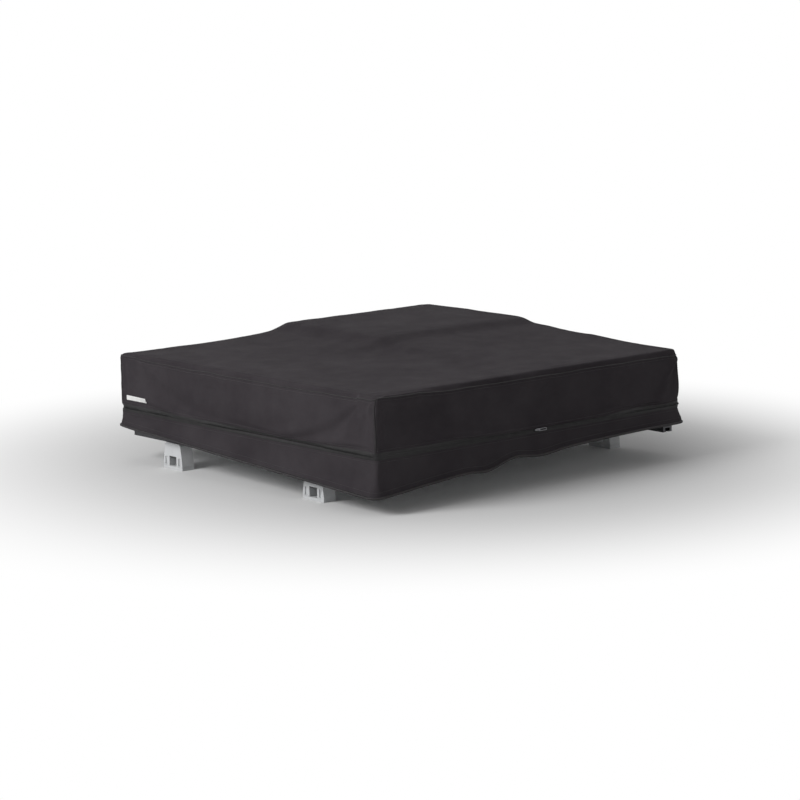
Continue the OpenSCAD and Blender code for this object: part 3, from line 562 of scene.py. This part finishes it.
lid = cut_piece("cover_lid_cloth", lid_faces)
skirt = cut_piece("cover_skirt_cloth", skirt_faces)
print("lid %.3f m2, skirt %.3f m2" % (sheet_area(lid), sheet_area(skirt)))

# %% [markdown]
# ## Geometry Nodes for what follows a path
# Piping, stitches and zip teeth repeat along a line. Two small trees make them all: one sweeps a round
# section along a path, the other sets a small bead at every pitch of it. The path is a mesh of plain
# edges. The result is turned into a plain mesh, because an exported model can't hold a live modifier or
# instances.

# %% Path trees
def path_tree(name, *sizes):
    """An empty tree with a path, named sizes and a finish as inputs."""
    tree = bpy.data.node_groups.new(name, "GeometryNodeTree")
    tree.interface.new_socket("Path", in_out="INPUT", socket_type="NodeSocketGeometry")
    for size in sizes:
        tree.interface.new_socket(size, in_out="INPUT", socket_type="NodeSocketFloat")
    tree.interface.new_socket("Finish", in_out="INPUT", socket_type="NodeSocketMaterial")
    tree.interface.new_socket("Piece", in_out="OUTPUT", socket_type="NodeSocketGeometry")
    return tree, tree.nodes.new("NodeGroupInput").outputs


def close_tree(tree, inputs, shape):
    whole = wire(tree, "GeometryNodeRealizeInstances", Geometry=shape)
    smooth = wire(tree, "GeometryNodeSetShadeSmooth", Geometry=whole)
    done = wire(tree, "GeometryNodeSetMaterial", Geometry=smooth, Material=inputs["Finish"])
    wire(tree, "NodeGroupOutput", Piece=done)
    return tree


def tube_tree():
    tree, inputs = path_tree("round_along_path", "Radius")
    curve = wire(tree, "GeometryNodeMeshToCurve", Mesh=inputs["Path"])
    section = wire(tree, "GeometryNodeCurvePrimitiveCircle", Resolution=8, Radius=inputs["Radius"])
    tube = wire(tree, "GeometryNodeCurveToMesh", Curve=curve, Profile_Curve=section, Fill_Caps=True)
    return close_tree(tree, inputs, tube)


def bead_tree():
    tree, inputs = path_tree("beads_along_path", "Pitch", "Deep", "High", "Long")
    curve = wire(tree, "GeometryNodeMeshToCurve", Mesh=inputs["Path"])
    level = wire(tree, "GeometryNodeSetCurveNormal", {"mode": "Z_UP"}, Curve=curve)
    spots = wire(tree, "GeometryNodeCurveToPoints", {"mode": "LENGTH"}, Curve=level, Length=inputs["Pitch"])
    bead = wire(tree, "GeometryNodeMeshUVSphere", Segments=6, Rings=4, Radius=0.5)
    size = wire(tree, "ShaderNodeCombineXYZ", X=inputs["Deep"], Y=inputs["High"], Z=inputs["Long"])
    row = wire(tree, "GeometryNodeInstanceOnPoints", Points=spots, Instance=bead,
               Rotation=spots.outputs["Rotation"], Scale=size)
    return close_tree(tree, inputs, row)


TUBE, BEADS = tube_tree(), bead_tree()


def along(name, tree, paths, finish, **sizes):
    """Runs a path tree on open or closed lines of points, and returns the result as a plain mesh object."""
    spots, edges = [], []
    for line, closed in paths:
        first = len(spots)
        spots += [tuple(p) for p in line]
        edges += [(k, k + 1) for k in range(first, len(spots) - 1)]
        if closed:
            edges.append((len(spots) - 1, first))
    mesh = bpy.data.meshes.new(name + "_path")
    mesh.from_pydata(spots, edges, [])
    carrier = put(name + "_path", mesh)
    nodes = carrier.modifiers.new("nodes", "NODES")
    nodes.node_group = tree
    values = dict(sizes, Finish=finish)
    for item in tree.interface.items_tree:
        if item.in_out == "INPUT" and item.name in values:
            nodes[item.identifier] = values[item.name]
    graph = bpy.context.evaluated_depsgraph_get()
    made = bpy.data.meshes.new_from_object(carrier.evaluated_get(graph), depsgraph=graph)
    bpy.data.objects.remove(carrier, do_unlink=True)
    made.name = name
    return put(name, made)


print("trees:", TUBE.name, BEADS.name)

# %% [markdown]
# ## Finishes of the trimmings
# Piping and tape are the cover's own colour, a step darker and a step smoother. The thread is a little
# lighter than the cloth, as bonded thread is. The tag on the side is pale and has nothing on it.

# %% Trimming finishes
def woven_band(name, dark, light, threads=700.0, rough=0.7):
    """Plain weave: two crossed sets of fine ribs in the relief, and a slight mottle in the colour."""
    mat, tree, shader = new_finish(name)
    where = object_space(tree)
    ribs = [wire(tree, "ShaderNodeTexWave", {"bands_direction": d}, Vector=where, Scale=threads * 0.3)
            for d in ("X", "Y", "Z")]
    crossed = joined(tree, "ADD", [rib.outputs["Fac"] for rib in ribs])
    feed(tree, shader, Base_Color=two_tone(tree, speckle(tree, where, 40.0), dark, light),
         Normal=bump(tree, crossed, 0.3, 0.0005), Specular_IOR_Level=0.3,
         Roughness=spread(tree, speckle(tree, where, 120.0), rough - 0.08, rough + 0.08))
    return mat


piping_finish = woven_band("cover_piping", (0.020, 0.0185, 0.020), (0.032, 0.029, 0.031))
tape_finish = woven_band("zip_tape", (0.013, 0.0125, 0.013), (0.021, 0.020, 0.021))
thread_finish = woven_band("cover_thread", (0.045, 0.042, 0.044), (0.066, 0.062, 0.065), 1400.0, 0.55)
label_finish = woven_band("blank_label", (0.72, 0.72, 0.71), (0.84, 0.84, 0.83), 900.0)
coil_finish = woven_band("zip_coil", (0.010, 0.010, 0.010), (0.018, 0.018, 0.018), 500.0, 0.42)
print("trimming finishes: 5")

# %% [markdown]
# ## Seams of the cover
# The lid is sewn to its wall with piping round the top edge, the wall is joined at its four corners, and
# the hem is turned over a cord. Each line is a row of the draped cloth, so a seam takes every fold that
# the cloth has. A point is set on the smoothed cloth by the nearest place on it, and then lifted by a
# fraction of a millimetre.

# %% Finding the cloth
def surface_of(*objs):
    """A search tree over the smoothed faces of some objects."""
    graph = bpy.context.evaluated_depsgraph_get()
    spots, polys = [], []
    for obj in objs:
        shown = obj.evaluated_get(graph).data
        first = len(spots)
        spots += [v.co.copy() for v in shown.vertices]
        polys += [tuple(first + k for k in p.vertices) for p in shown.polygons]
    return BVHTree.FromPolygons(spots, polys)


cover_surface = surface_of(lid, skirt)
# How much the outward side of the cover is also its upper side
UPWARD = Vector((0, 0, 0.6))


def on_cover(p, lift):
    place, normal, _, _ = cover_surface.find_nearest(Vector(p))
    outward = Vector((p[0], p[1], 0)).normalized() + UPWARD
    if normal.dot(outward) < 0:
        normal = -normal
    return place + normal * lift


def walk(k, ring, down):
    """A point of the cloth at a length down it from a ring, or up it for a length below zero."""
    place, step, left = draped[rings[ring][k]], 1 if down > 0 else -1, abs(down)
    while left > 0 and 0 < ring + step < len(rings):
        ahead = draped[rings[ring + step][k]] - place
        length = np.linalg.norm(ahead)
        if length >= left:
            return place + ahead * (left / length)
        place, ring, left = place + ahead, ring + step, left - length
    return place


def ring_line(ring, lift, down=0.0):
    """A line round the cover on its surface, at a length down the cloth from one of its rings."""
    ring = ring % len(rings)
    return [on_cover(walk(k, ring, down), lift) for k in range(len(rings[ring]))]


CORNERS = [0, CELLS_X, CELLS_X + CELLS_Y, 2 * CELLS_X + CELLS_Y]
EDGE_RING = 3


def corner_line(corner, aside, lift):
    """The seam down a corner of the wall, or a row beside it."""
    count = len(rings[0])
    beside = (corner + (1 if aside > 0 else -1)) % count
    line = []
    for ring in rings[EDGE_RING:zip_ring]:
        a, b = draped[ring[corner]], draped[ring[beside]]
        step = abs(aside) / max(1e-6, np.linalg.norm(b - a))
        line.append(on_cover(a + (b - a) * step, lift))
    return line


# %% Sew the cover
SEAM_LIFT, HEM_LIFT, STITCH_LIFT = 0.0004, 0.0006, 0.0005
# Distance of a row of stitches from the lid's edge, the zip, the hem and a corner seam
BY_EDGE, BY_ZIP, BY_HEM, BY_CORNER = 0.009, 0.019, 0.017, 0.006
edge_line = ring_line(EDGE_RING, SEAM_LIFT)
edge_piping = along("lid_edge_piping", TUBE, [(edge_line, True)], piping_finish, Radius=0.0020)
corner_seams = along("corner_seam_piping", TUBE, [(corner_line(c, 0.0, SEAM_LIFT), False) for c in CORNERS],
                     piping_finish, Radius=0.0019)
hem_cord = along("hem_roll", TUBE, [(ring_line(-1, HEM_LIFT), True)], piping_finish, Radius=0.0042)
rows = [(ring_line(ring, STITCH_LIFT, down), True) for ring, down in
        ((EDGE_RING, BY_EDGE), (zip_ring, -BY_ZIP), (zip_ring, BY_ZIP), (-1, -BY_HEM))]
rows += [(corner_line(c, side, STITCH_LIFT), False) for c in CORNERS for side in (BY_CORNER, -BY_CORNER)]
cover_stitches = along("cover_stitches", BEADS, rows, thread_finish,
                       Pitch=0.0065, Deep=0.0011, High=0.0012, Long=0.0046)
print("stitch faces:", len(cover_stitches.data.polygons))

# %% [markdown]
# ## Zip, slider and tag
# The lid and the skirt meet in a coil zip at the drawn-in line. Its tape is a narrow band laid on the
# cloth, and its coil is one row of beads. The slider is a bevelled wedge with a wire bail and a wire
# puller, and it rides on its own body, because it runs along the zip. The tag is a small patch laid on
# the wall by casting rays at the cloth.

# %% Zip tape and coil
def band_on_cover(name, ring, drops, lifts, finish):
    """A closed band of cloth that follows a ring of the cover, with a row of points for each drop."""
    lines = [ring_line(ring, lift, drop) for drop, lift in zip(drops, lifts)]
    count = len(rings[ring])
    loops = [range(r * count, (r + 1) * count) for r in range(len(lines))]
    return link(name, sum(lines, []), ring_quads(loops), finish)


TAPE_DROPS = (-0.0120, -0.0110, -0.0040, 0.0040, 0.0110, 0.0120)
TAPE_LIFTS, COIL_LIFT, BEAD_FACES = (0.0003, 0.0011, 0.0012, 0.0012, 0.0011, 0.0003), 0.0016, 24
zip_tape = band_on_cover("zip_tape_band", zip_ring, TAPE_DROPS, TAPE_LIFTS, tape_finish)
zip_coil = along("zip_coil_teeth", BEADS, [(ring_line(zip_ring, COIL_LIFT), True)], coil_finish,
                 Pitch=0.0040, Deep=0.0030, High=0.0070, Long=0.0027)
print("zip teeth:", len(zip_coil.data.polygons) // BEAD_FACES)

# %% Slider
def satin_metal(name, dark, light, rough=(0.28, 0.42), brushed=(1.0, 1.0, 1.0), scale=60.0):
    """Metal with a soft grain. A stretch of the pattern along one axis makes drawn or brushed lines."""
    mat, tree, shader = new_finish(name)
    lines = wire(tree, "ShaderNodeMapping", Vector=object_space(tree), Scale=brushed)
    grain = speckle(tree, lines, scale, 5.0, 0.65)
    handled = speckle(tree, object_space(tree), 9.0, 4.0)
    both = joined(tree, "MULTIPLY", [grain, handled])
    feed(tree, shader, Base_Color=two_tone(tree, handled, dark, light), Metallic=1.0,
         Roughness=spread(tree, both, rough[0] - 0.06, rough[1] + 0.22),
         Normal=bump(tree, grain, 0.12, 0.0004))
    return mat


slider_finish = satin_metal("slider_metal", (0.16, 0.16, 0.17), (0.26, 0.26, 0.27))


def bevelled_plate(name, outline, near, far, edge, finish):
    """A flat outline in X and Z, given a thickness in Y and rounded edges."""
    bm = bmesh.new()
    face = bm.faces.new([bm.verts.new((x, near, z)) for x, z in outline])
    moved = bmesh.ops.extrude_face_region(bm, geom=[face])["geom"]
    for v in moved:
        if isinstance(v, bmesh.types.BMVert):
            v.co.y = far
    bmesh.ops.bevel(bm, geom=list(bm.edges), offset=edge, segments=2, affect="EDGES", profile=0.6)
    bmesh.ops.recalc_face_normals(bm, faces=list(bm.faces))
    mesh = bpy.data.meshes.new(name)
    bm.to_mesh(mesh)
    bm.free()
    mesh.materials.append(finish)
    return put(name, mesh)


(sx0, sy0, sz0), (sx1, sy1, sz1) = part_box("zip_slider")
BODY_LONG, BODY_DEEP, BODY_HALF = 0.022, 0.0035, 0.0040
# The slider runs in front of the coil, and a little low, because the lid's cloth folds out just over the zip.
SLIDER_OUT, SLIDER_DROP = 0.0031, 0.0020
sy0, sy1 = sy0 - SLIDER_OUT, sy1 - SLIDER_OUT
mid_z = (sz0 + sz1) / 2 - SLIDER_DROP
BODY_EDGE, BAIL_RISE = 0.0008, 0.0022
# The puller: where it starts along the body, how far it stops short, radius of its ends, and depth in its box
PULL_FROM, PULL_SHORT, PULL_END, PULL_IN = 0.55, 0.002, 0.0034, 0.0012
wedge = [(0.0, 0.45), (0.45, 1.0), (1.0, 0.85), (1.0, -0.85), (0.45, -1.0), (0.0, -0.45)]
outline = [(sx0 + BODY_LONG * u, mid_z + BODY_HALF * v) for u, v in wedge]
slider_body = bevelled_plate("zip_slider_body", outline, sy1, sy1 - BODY_DEEP, BODY_EDGE, slider_finish)
bail = [(sx0 + BODY_LONG * (0.25 + 0.5 * t), sy1 - BODY_DEEP - BAIL_RISE * math.sin(math.pi * t), mid_z)
        for t in np.linspace(0, 1, 9)]
pull_x = sx0 + BODY_LONG * PULL_FROM
pull_half = (sx1 - pull_x - PULL_SHORT) / 2
puller = []
for a in np.linspace(0, 2 * math.pi, 24, endpoint=False):
    x = pull_x + pull_half + (pull_half - PULL_END) * np.sign(math.cos(a)) + PULL_END * math.cos(a)
    puller.append((x, sy0 + PULL_IN, mid_z + PULL_END * math.sin(a)))
slider_wire = along("zip_slider_wire", TUBE, [(bail, False), (puller, True)], slider_finish, Radius=0.0010)
print("slider from x %.3f to %.3f" % (sx0, sx1))

# %% Blank tag
TAG_EDGE_LIFT, TAG_LIFT, TAG_STITCH_LIFT, TAG_AWAY = 0.0003, 0.0016, 0.0019, 0.1
(tx0, ty0, tz0), (_, ty1, tz1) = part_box("cover_label")


def on_wall(u, v, lift):
    """A point of the tag, u along it and v up it, thrown onto the wall on the hinge side."""
    spot = Vector((tx0 - TAG_AWAY, ty0 + (ty1 - ty0) * u, tz0 + (tz1 - tz0) * v))
    place = cover_surface.ray_cast(spot, Vector((1, 0, 0)))[0]
    return place - Vector((lift, 0, 0))


def tag_mesh(along_cells=48, up_cells=10):
    spots = []
    for j in range(up_cells + 1):
        for i in range(along_cells + 1):
            border = min(i, along_cells - i, j, up_cells - j)
            spots.append(on_wall(i / along_cells, j / up_cells, TAG_LIFT if border else TAG_EDGE_LIFT))
    return spots, [(a, d, c, b) for a, b, c, d in grid_quads(along_cells, up_cells)]


cover_tag = link("blank_side_tag", *tag_mesh(), label_finish)
half_line = [(u, 0.14) for u in np.linspace(0.02, 0.98, 40)] + [(0.98, v) for v in np.linspace(0.2, 0.8, 5)]
tag_line = half_line + [(1 - u, 1 - v) for u, v in half_line]
tag_stitches = along("tag_stitches", BEADS, [([on_wall(u, v, TAG_STITCH_LIFT) for u, v in tag_line], True)],
                     label_finish, Pitch=0.0030, Deep=0.0008, High=0.0008, Long=0.0022)
print("tag %.0f x %.0f mm" % ((ty1 - ty0) * 1000, (tz1 - tz0) * 1000))

# %% [markdown]
# ## Mattress
# Each base half carries half of the bed: a foam slab in a woven sleeve, with piping round the face that
# people lie on and rows of tufts that hold the foam. The sleeve is a closed mesh that the cloth solver
# inflates a little, while its underside, its edges and its tufts are held. One slab is made, and the
# other is its mirror image in the fold.

# %% Slab before it swells
AXIS_Z = (low(2, "hinge_pins") + high(2, "hinge_pins")) / 2
SLAB_CELLS, SLAB_RADIUS, SLAB_SIDES = 48, 0.045, 5
SLAB_INSET, SIDE_INSET, SLAB_CROWN = 0.006, 0.004, 0.005
TUFT_EVERY, TUFT_FIRST, TUFT_DEEP = 8, 8, 0.010
# Cells over which the crown rises from the edge, and over which a tuft draws the face in
CROWN_CELLS, TUFT_CELLS, SWELL_LIMIT = 4, 2.6, 0.008


def slab_mesh(corner_low, corner_high):
    """A closed slab with rounded corners: an under face, rings up its side and an upper face."""
    centre = (Vector(corner_low) + Vector(corner_high)) / 2
    half = (Vector(corner_high) - Vector(corner_low)) / 2
    n, spots, quads, at = SLAB_CELLS, [], [], {}

    def place(u, v, inset, z):
        hx, hy = half.x - inset, half.y - inset
        x, y = round_corner(hx * u, hy * v, hx, hy, SLAB_RADIUS - inset)
        spots.append((centre.x + x, centre.y + y, z))
        return len(spots) - 1

    for face, z in (("under", corner_low[2]), ("upper", corner_high[2])):
        first = len(spots)
        for j in range(n + 1):
            for i in range(n + 1):
                at[face, i, j] = place(2 * i / n - 1, 2 * j / n - 1, SLAB_INSET, z)
        for cell in grid_quads(n, n):
            a, b, c, d = (first + k for k in cell)
            quads.append((a, b, c, d) if face == "upper" else (a, d, c, b))
    rim = rim_indices(n, n)
    loops = [[at["upper", i, j] for i, j in rim]]
    for k in range(1, SLAB_SIDES):
        share = k / SLAB_SIDES
        inset = SIDE_INSET * (2 * share - 1) ** 2
        z = corner_high[2] + (corner_low[2] - corner_high[2]) * share
        loops.append([place(2 * i / n - 1, 2 * j / n - 1, inset, z) for i, j in rim])
    loops.append([at["under", i, j] for i, j in rim])
    return np.array(spots), quads + ring_quads(loops), at, loops


slab, slab_faces, slab_at, slab_loops = slab_mesh(*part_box("lower_mattress"))
print("mattress points:", len(slab))

# %% Let the slab swell
def swell(obj, held, frames=16):
    """Inflates a closed mesh, and returns the place of each point at the end."""
    cloth = add_cloth(obj, dict.fromkeys(sorted(held), 1.0), quality=5, tension_stiffness=20,
                      compression_stiffness=20, bending_stiffness=1.0, use_pressure=True,
                      uniform_pressure_force=4)
    cloth.settings.effector_weights.gravity = 0
    return run_cloth(obj, cloth, frames)


tuft_line = range(TUFT_FIRST, SLAB_CELLS, TUFT_EVERY)
tufts = [(i, j) for i in tuft_line for j in tuft_line]
dented = slab.copy()
for (face, i, j), k in slab_at.items():
    if face == "upper":
        near = min(math.hypot(i - a, j - b) for a, b in tufts)
        edge = min(i, j, SLAB_CELLS - i, SLAB_CELLS - j)
        dent = (TUFT_DEEP + SLAB_CROWN) * (1 - ease(0, TUFT_CELLS, near))
        dented[k][2] += SLAB_CROWN * ease(0, CROWN_CELLS, edge) - dent
sleeve_held = {k for (face, i, j), k in slab_at.items() if face == "under"} | set(slab_loops[0])
sleeve_held |= {slab_at["upper", i, j] for i, j in tufts}
sleeve = link("sleeve", dented, slab_faces)
swollen = swell(sleeve, sleeve_held)
bpy.data.objects.remove(sleeve, do_unlink=True)
swollen = dented + np.clip(swollen - dented, -SWELL_LIMIT, SWELL_LIMIT)
print("swell: %.1f mm at most" % (np.abs(swollen - dented).max() * 1000))

# %% Both mattress halves
mattress_finish = woven_band("mattress_sleeve", (0.17, 0.18, 0.19), (0.24, 0.25, 0.26), 420.0, 0.82)
mattress_piping = woven_band("mattress_piping", (0.05, 0.05, 0.055), (0.08, 0.08, 0.085), 600.0)


def mattress(name, spots, flip):
    turned = [tuple(reversed(f)) for f in slab_faces] if flip else slab_faces
    obj = smoothed(link(name, spots, turned, mattress_finish))
    edge = [spots[k] for k in slab_loops[0]]
    return obj, along(name + "_piping", TUBE, [(edge, True)], mattress_piping, Radius=0.0045)


mirrored = swollen * np.array([1, 1, -1]) + np.array([0, 0, 2 * AXIS_Z])
lower_bed, lower_bed_piping = mattress("lower_mattress_sleeve", swollen, False)
upper_bed, upper_bed_piping = mattress("upper_mattress_sleeve", mirrored, True)
print("mattress %.3f m2 each" % sheet_area(lower_bed))

# %% [markdown]
# ## Canopy
# The canopy is one band of coated canvas round three sides, sewn to both frames and carried by the three
# hoops. Folded, it hides between the halves, tucked in between the hoops. It is one continuous sheet with
# many levels, and a UV map tells the finish where the hoop sleeves, the windows and the hems lie.

# %% Canopy band
(cx0, _, cz0), (cx1, cy1, cz1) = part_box("canopy")
HOOPS = [(low(2, "hoop_%s_tube" % n) + high(2, "hoop_%s_tube" % n)) / 2 for n in ("low", "mid", "high")]
# Depth of a fold, room round a hoop, bend at the corners, depth in the solid, and a fold's share at the sides
TUCK, SOCKET, BEND, BAND_SEAT, SIDE_SHARE = 0.0175, 0.011, 0.108, 0.0008, 0.25
BAND_STEPS, BAND_LEVELS = 150, 96
# Distances from a hoop and from a frame over which a fold sets in, and its even and uneven shares
FOLD_FROM, FOLD_TO, FRAME_EASE, EVEN, UNEVEN = SOCKET + 0.001, SOCKET + 0.009, 0.014, 0.82, 0.18


def tuck_at(z, s):
    """How far the band is drawn in between two hoops, with a little change along its length."""
    hoop = min(abs(z - h) for h in HOOPS)
    frame_gap = min(z - cz0, cz1 - z)
    slack = EVEN + UNEVEN * noise.noise(Vector((s * 5, z * 20, 3)))
    return TUCK * slack * ease(FOLD_FROM, FOLD_TO, hoop) * ease(0, FRAME_EASE, frame_gap)


def band_point(share, tuck):
    """The point at a share of the way along the three sides, drawn in by tuck."""
    x, y = cx1 - BAND_SEAT - tuck, cy1 - BAND_SEAT - tuck * SIDE_SHARE
    straight, arc, across = x - BEND - cx0, BEND * math.pi / 2, 2 * (y - BEND)
    whole = 2 * (straight + arc) + across
    side = -1 if share > 0.5 else 1
    s = whole * min(share, 1 - share)
    if s < straight:
        spot = (cx0 + s, -y)
    elif s < straight + arc:
        a = (s - straight) / BEND
        spot = (x - BEND + BEND * math.sin(a), BEND - y - BEND * math.cos(a))
    else:
        spot = (x, BEND - y + s - straight - arc)
    return spot[0], spot[1] * side


BAND_RUN = 2 * (cx1 - BEND - cx0 + BEND * math.pi / 2) + 2 * (cy1 - BEND)


def canopy_band():
    spots = []
    for k in range(BAND_LEVELS + 1):
        z = cz0 + (cz1 - cz0) * k / BAND_LEVELS
        for i in range(BAND_STEPS + 1):
            share = i / BAND_STEPS
            spots.append((*band_point(share, tuck_at(z, BAND_RUN * share)), z))
    return spots, grid_quads(BAND_STEPS, BAND_LEVELS)


canopy = link("canopy_sheet", *canopy_band())
band_map = canopy.data.uv_layers.new(name="band")
for corner in canopy.data.loops:
    k, i = divmod(corner.vertex_index, BAND_STEPS + 1)
    band_map.data[corner.index].uv = (BAND_RUN * i / BAND_STEPS, k / BAND_LEVELS)
print("canopy run %.2f m, folded area %.2f m2" % (BAND_RUN, sheet_area(canopy)))

# %% Canopy finish
# Windows: half lengths at the end and sides, place at the sides, half heights of pane and frame, frame width
END_WINDOW, SIDE_WINDOW, SIDE_AT, PANE_HALF, FRAME_HALF, FRAME_WIDE = 0.40, 0.26, 0.62, 0.052, 0.060, 0.03
SLEEVE_HALF = 0.011


def inside(tree, value, centre, half, soft):
    """1 where value is within half of centre, falling to 0 over soft."""
    apart = joined(tree, "SUBTRACT", [value, centre])
    away = wire(tree, "ShaderNodeMath", {"operation": "ABSOLUTE"}, i0=apart)
    return wire(tree, "ShaderNodeMapRange", Value=away, From_Min=half + soft, From_Max=half)


def canvas_finish():
    mat, tree, shader = new_finish("canopy_canvas")
    uv = wire(tree, "ShaderNodeUVMap", {"uv_map": "band"})
    part = wire(tree, "ShaderNodeSeparateXYZ", Vector=uv).outputs
    levels = [(h - cz0) / (cz1 - cz0) for h in HOOPS]
    bands = [inside(tree, part["Y"], v, SLEEVE_HALF, 0.002) for v in levels + [0.0, 1.0]]
    # A window in the end wall and in each side, on both sides of the middle hoop
    panes, frames = [], []
    for v in ((levels[0] + levels[1]) / 2, (levels[1] + levels[2]) / 2):
        for u in (BAND_RUN / 2, SIDE_AT, BAND_RUN - SIDE_AT):
            wide = END_WINDOW if u == BAND_RUN / 2 else SIDE_WINDOW
            for half_u, half_v, store in ((wide, PANE_HALF, panes), (wide + FRAME_WIDE, FRAME_HALF, frames)):
                across = inside(tree, part["X"], u, half_u, 0.004)
                store.append(joined(tree, "MULTIPLY", [across, inside(tree, part["Y"], v, half_v, 0.001)]))
    where = object_space(tree)
    canvas = two_tone(tree, speckle(tree, where, 6.0, 6.0, 0.6), (0.36, 0.33, 0.26), (0.45, 0.415, 0.335))
    doubled = joined(tree, "MAXIMUM", bands + frames)
    glazed, colour = joined(tree, "MAXIMUM", panes), canvas
    for share, tone in ((doubled, (0.10, 0.095, 0.085, 1)), (glazed, (0.035, 0.036, 0.038, 1))):
        colour = wire(tree, "ShaderNodeMix", {"data_type": "RGBA"}, i0=share, i6=colour, i7=tone).outputs[2]
    weave = wire(tree, "ShaderNodeTexWave", {"bands_direction": "DIAGONAL"}, Vector=uv,
                 Scale=140.0, Distortion=0.6)
    ridge = bump(tree, doubled, 0.5, 0.0012)
    feed(tree, shader, Base_Color=colour, Specular_IOR_Level=0.2,
         Roughness=spread(tree, speckle(tree, where, 25.0), 0.62, 0.82),
         Normal=bump(tree, weave.outputs["Fac"], 0.25, 0.0004, ridge))
    return mat


canopy.data.materials.append(canvas_finish())
print("canopy finish made")

# %% [markdown]
# ## Finishes of the rigid pieces
# The rigid pieces keep their CAD shapes. What they need is surface: drawn and anodised alloy, zinc on the
# fasteners, powder coat on the hinges and clamps, moulded plastic, rubber, and a stucco sheet on the
# floor panels. A Bevel node rounds the look of the sharp CAD edges, so they catch a thin light as real
# edges do. The record gives each node a slot, and one finish is made for each slot.

# %% Coats, plastics and rubber
def soft_edge(tree, radius=0.0012):
    return wire(tree, "ShaderNodeBevel", {"samples": 4}, Radius=radius)


def powder_coat(name, dark, light, rough=(0.42, 0.58), peel=700.0, depth=0.0003, gloss=0.4):
    """A baked coat: even colour with a trace of dust, and the fine relief of an orange's skin."""
    mat, tree, shader = new_finish(name)
    where = object_space(tree)
    dust = speckle(tree, where, 14.0, 6.0, 0.65)
    skin = bump(tree, speckle(tree, where, peel, 2.0, 0.4), 0.25, depth, soft_edge(tree))
    feed(tree, shader, Base_Color=two_tone(tree, dust, dark, light, 0.35, 0.75), Normal=skin,
         Roughness=spread(tree, dust, *rough), Specular_IOR_Level=gloss)
    return mat


def stucco_sheet(name, dark, light):
    """A thin alloy skin, rolled with a close pattern of shallow dimples and painted."""
    mat, tree, shader = new_finish(name)
    where = object_space(tree)
    cells = wire(tree, "ShaderNodeTexVoronoi", {"feature": "SMOOTH_F1"}, Vector=where, Scale=170.0)
    feed(tree, shader, Base_Color=two_tone(tree, speckle(tree, where, 5.0), dark, light),
         Normal=bump(tree, cells, 0.35, 0.0008, soft_edge(tree)),
         Roughness=spread(tree, speckle(tree, where, 30.0), 0.46, 0.62))
    return mat


FINISHES = {
    "frame_alloy": satin_metal("black_anodised_frame", (0.050, 0.050, 0.054), (0.085, 0.085, 0.09),
                               (0.36, 0.50), (4, 4, 40)),
    "hoop_alloy": satin_metal("drawn_hoop", (0.58, 0.59, 0.60), (0.70, 0.71, 0.72), (0.22, 0.34), (3, 3, 60)),
    "ladder_alloy": satin_metal("anodised_ladder", (0.52, 0.53, 0.55), (0.64, 0.65, 0.67),
                                (0.25, 0.38), (2, 60, 60)),
    "steel": satin_metal("zinc_fastener", (0.42, 0.43, 0.44), (0.62, 0.62, 0.60), (0.30, 0.46), scale=220.0),
    "zip_metal": slider_finish,
    "hinge_alloy": powder_coat("dark_powder_coat", (0.030, 0.031, 0.033), (0.055, 0.056, 0.058)),
    "clamp_grey": powder_coat("light_grey_coat", (0.50, 0.51, 0.52), (0.62, 0.63, 0.64), (0.44, 0.60)),
    "knuckle_plastic": powder_coat("moulded_black", (0.016, 0.016, 0.017), (0.030, 0.030, 0.031),
                                   (0.5, 0.66), 1500.0),
    "rubber": powder_coat("matt_rubber", (0.014, 0.014, 0.014), (0.034, 0.033, 0.032),
                          (0.75, 0.92), 260.0, 0.0006, 0.2),
    "floor_panel": stucco_sheet("stucco_panel", (0.52, 0.53, 0.54), (0.62, 0.63, 0.64)),
}
dressed = 0
for part in frame["record"]["subparts"]:
    if part["material_slot"] in FINISHES:
        node = frame["nodes"][part["node"]]
        for held_slot in node.material_slots:
            held_slot.material = FINISHES[part["material_slot"]]
        dressed += 1
print("rigid nodes dressed:", dressed)

# %% [markdown]
# ## What each piece stands for and what it moves with
# Every soft piece takes the place of its CAD solid. The cover is taken off by hand before the tent opens,
# so it can't follow the fold: it stays with the fixed half. Each mattress half moves with its base half, and
# the canopy is attached to neither half.

# %% Places and motions
CLOTH_SET = [lid, skirt, edge_piping, corner_seams, hem_cord, cover_stitches]
COVER_SET = CLOTH_SET + [zip_tape, zip_coil, cover_tag, tag_stitches]
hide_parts("cover_lid")
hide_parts("cover_skirt")
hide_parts("cover_zip")
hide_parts("cover_label")
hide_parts("zip_slider")
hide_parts("canopy")
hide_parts("lower_mattress")
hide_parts("upper_mattress")
for piece in COVER_SET + [slider_body, slider_wire]:
    body = "zip_pull" if piece in (slider_body, slider_wire) else "fixed_half"
    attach(piece, body)
    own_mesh(piece)
for piece, body in ((lower_bed, "fixed_half"), (lower_bed_piping, "fixed_half"), (upper_bed, "folding_half"),
                    (upper_bed_piping, "folding_half")):
    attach(piece, body)
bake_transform(canopy)
print("cover pieces:", len(COVER_SET))
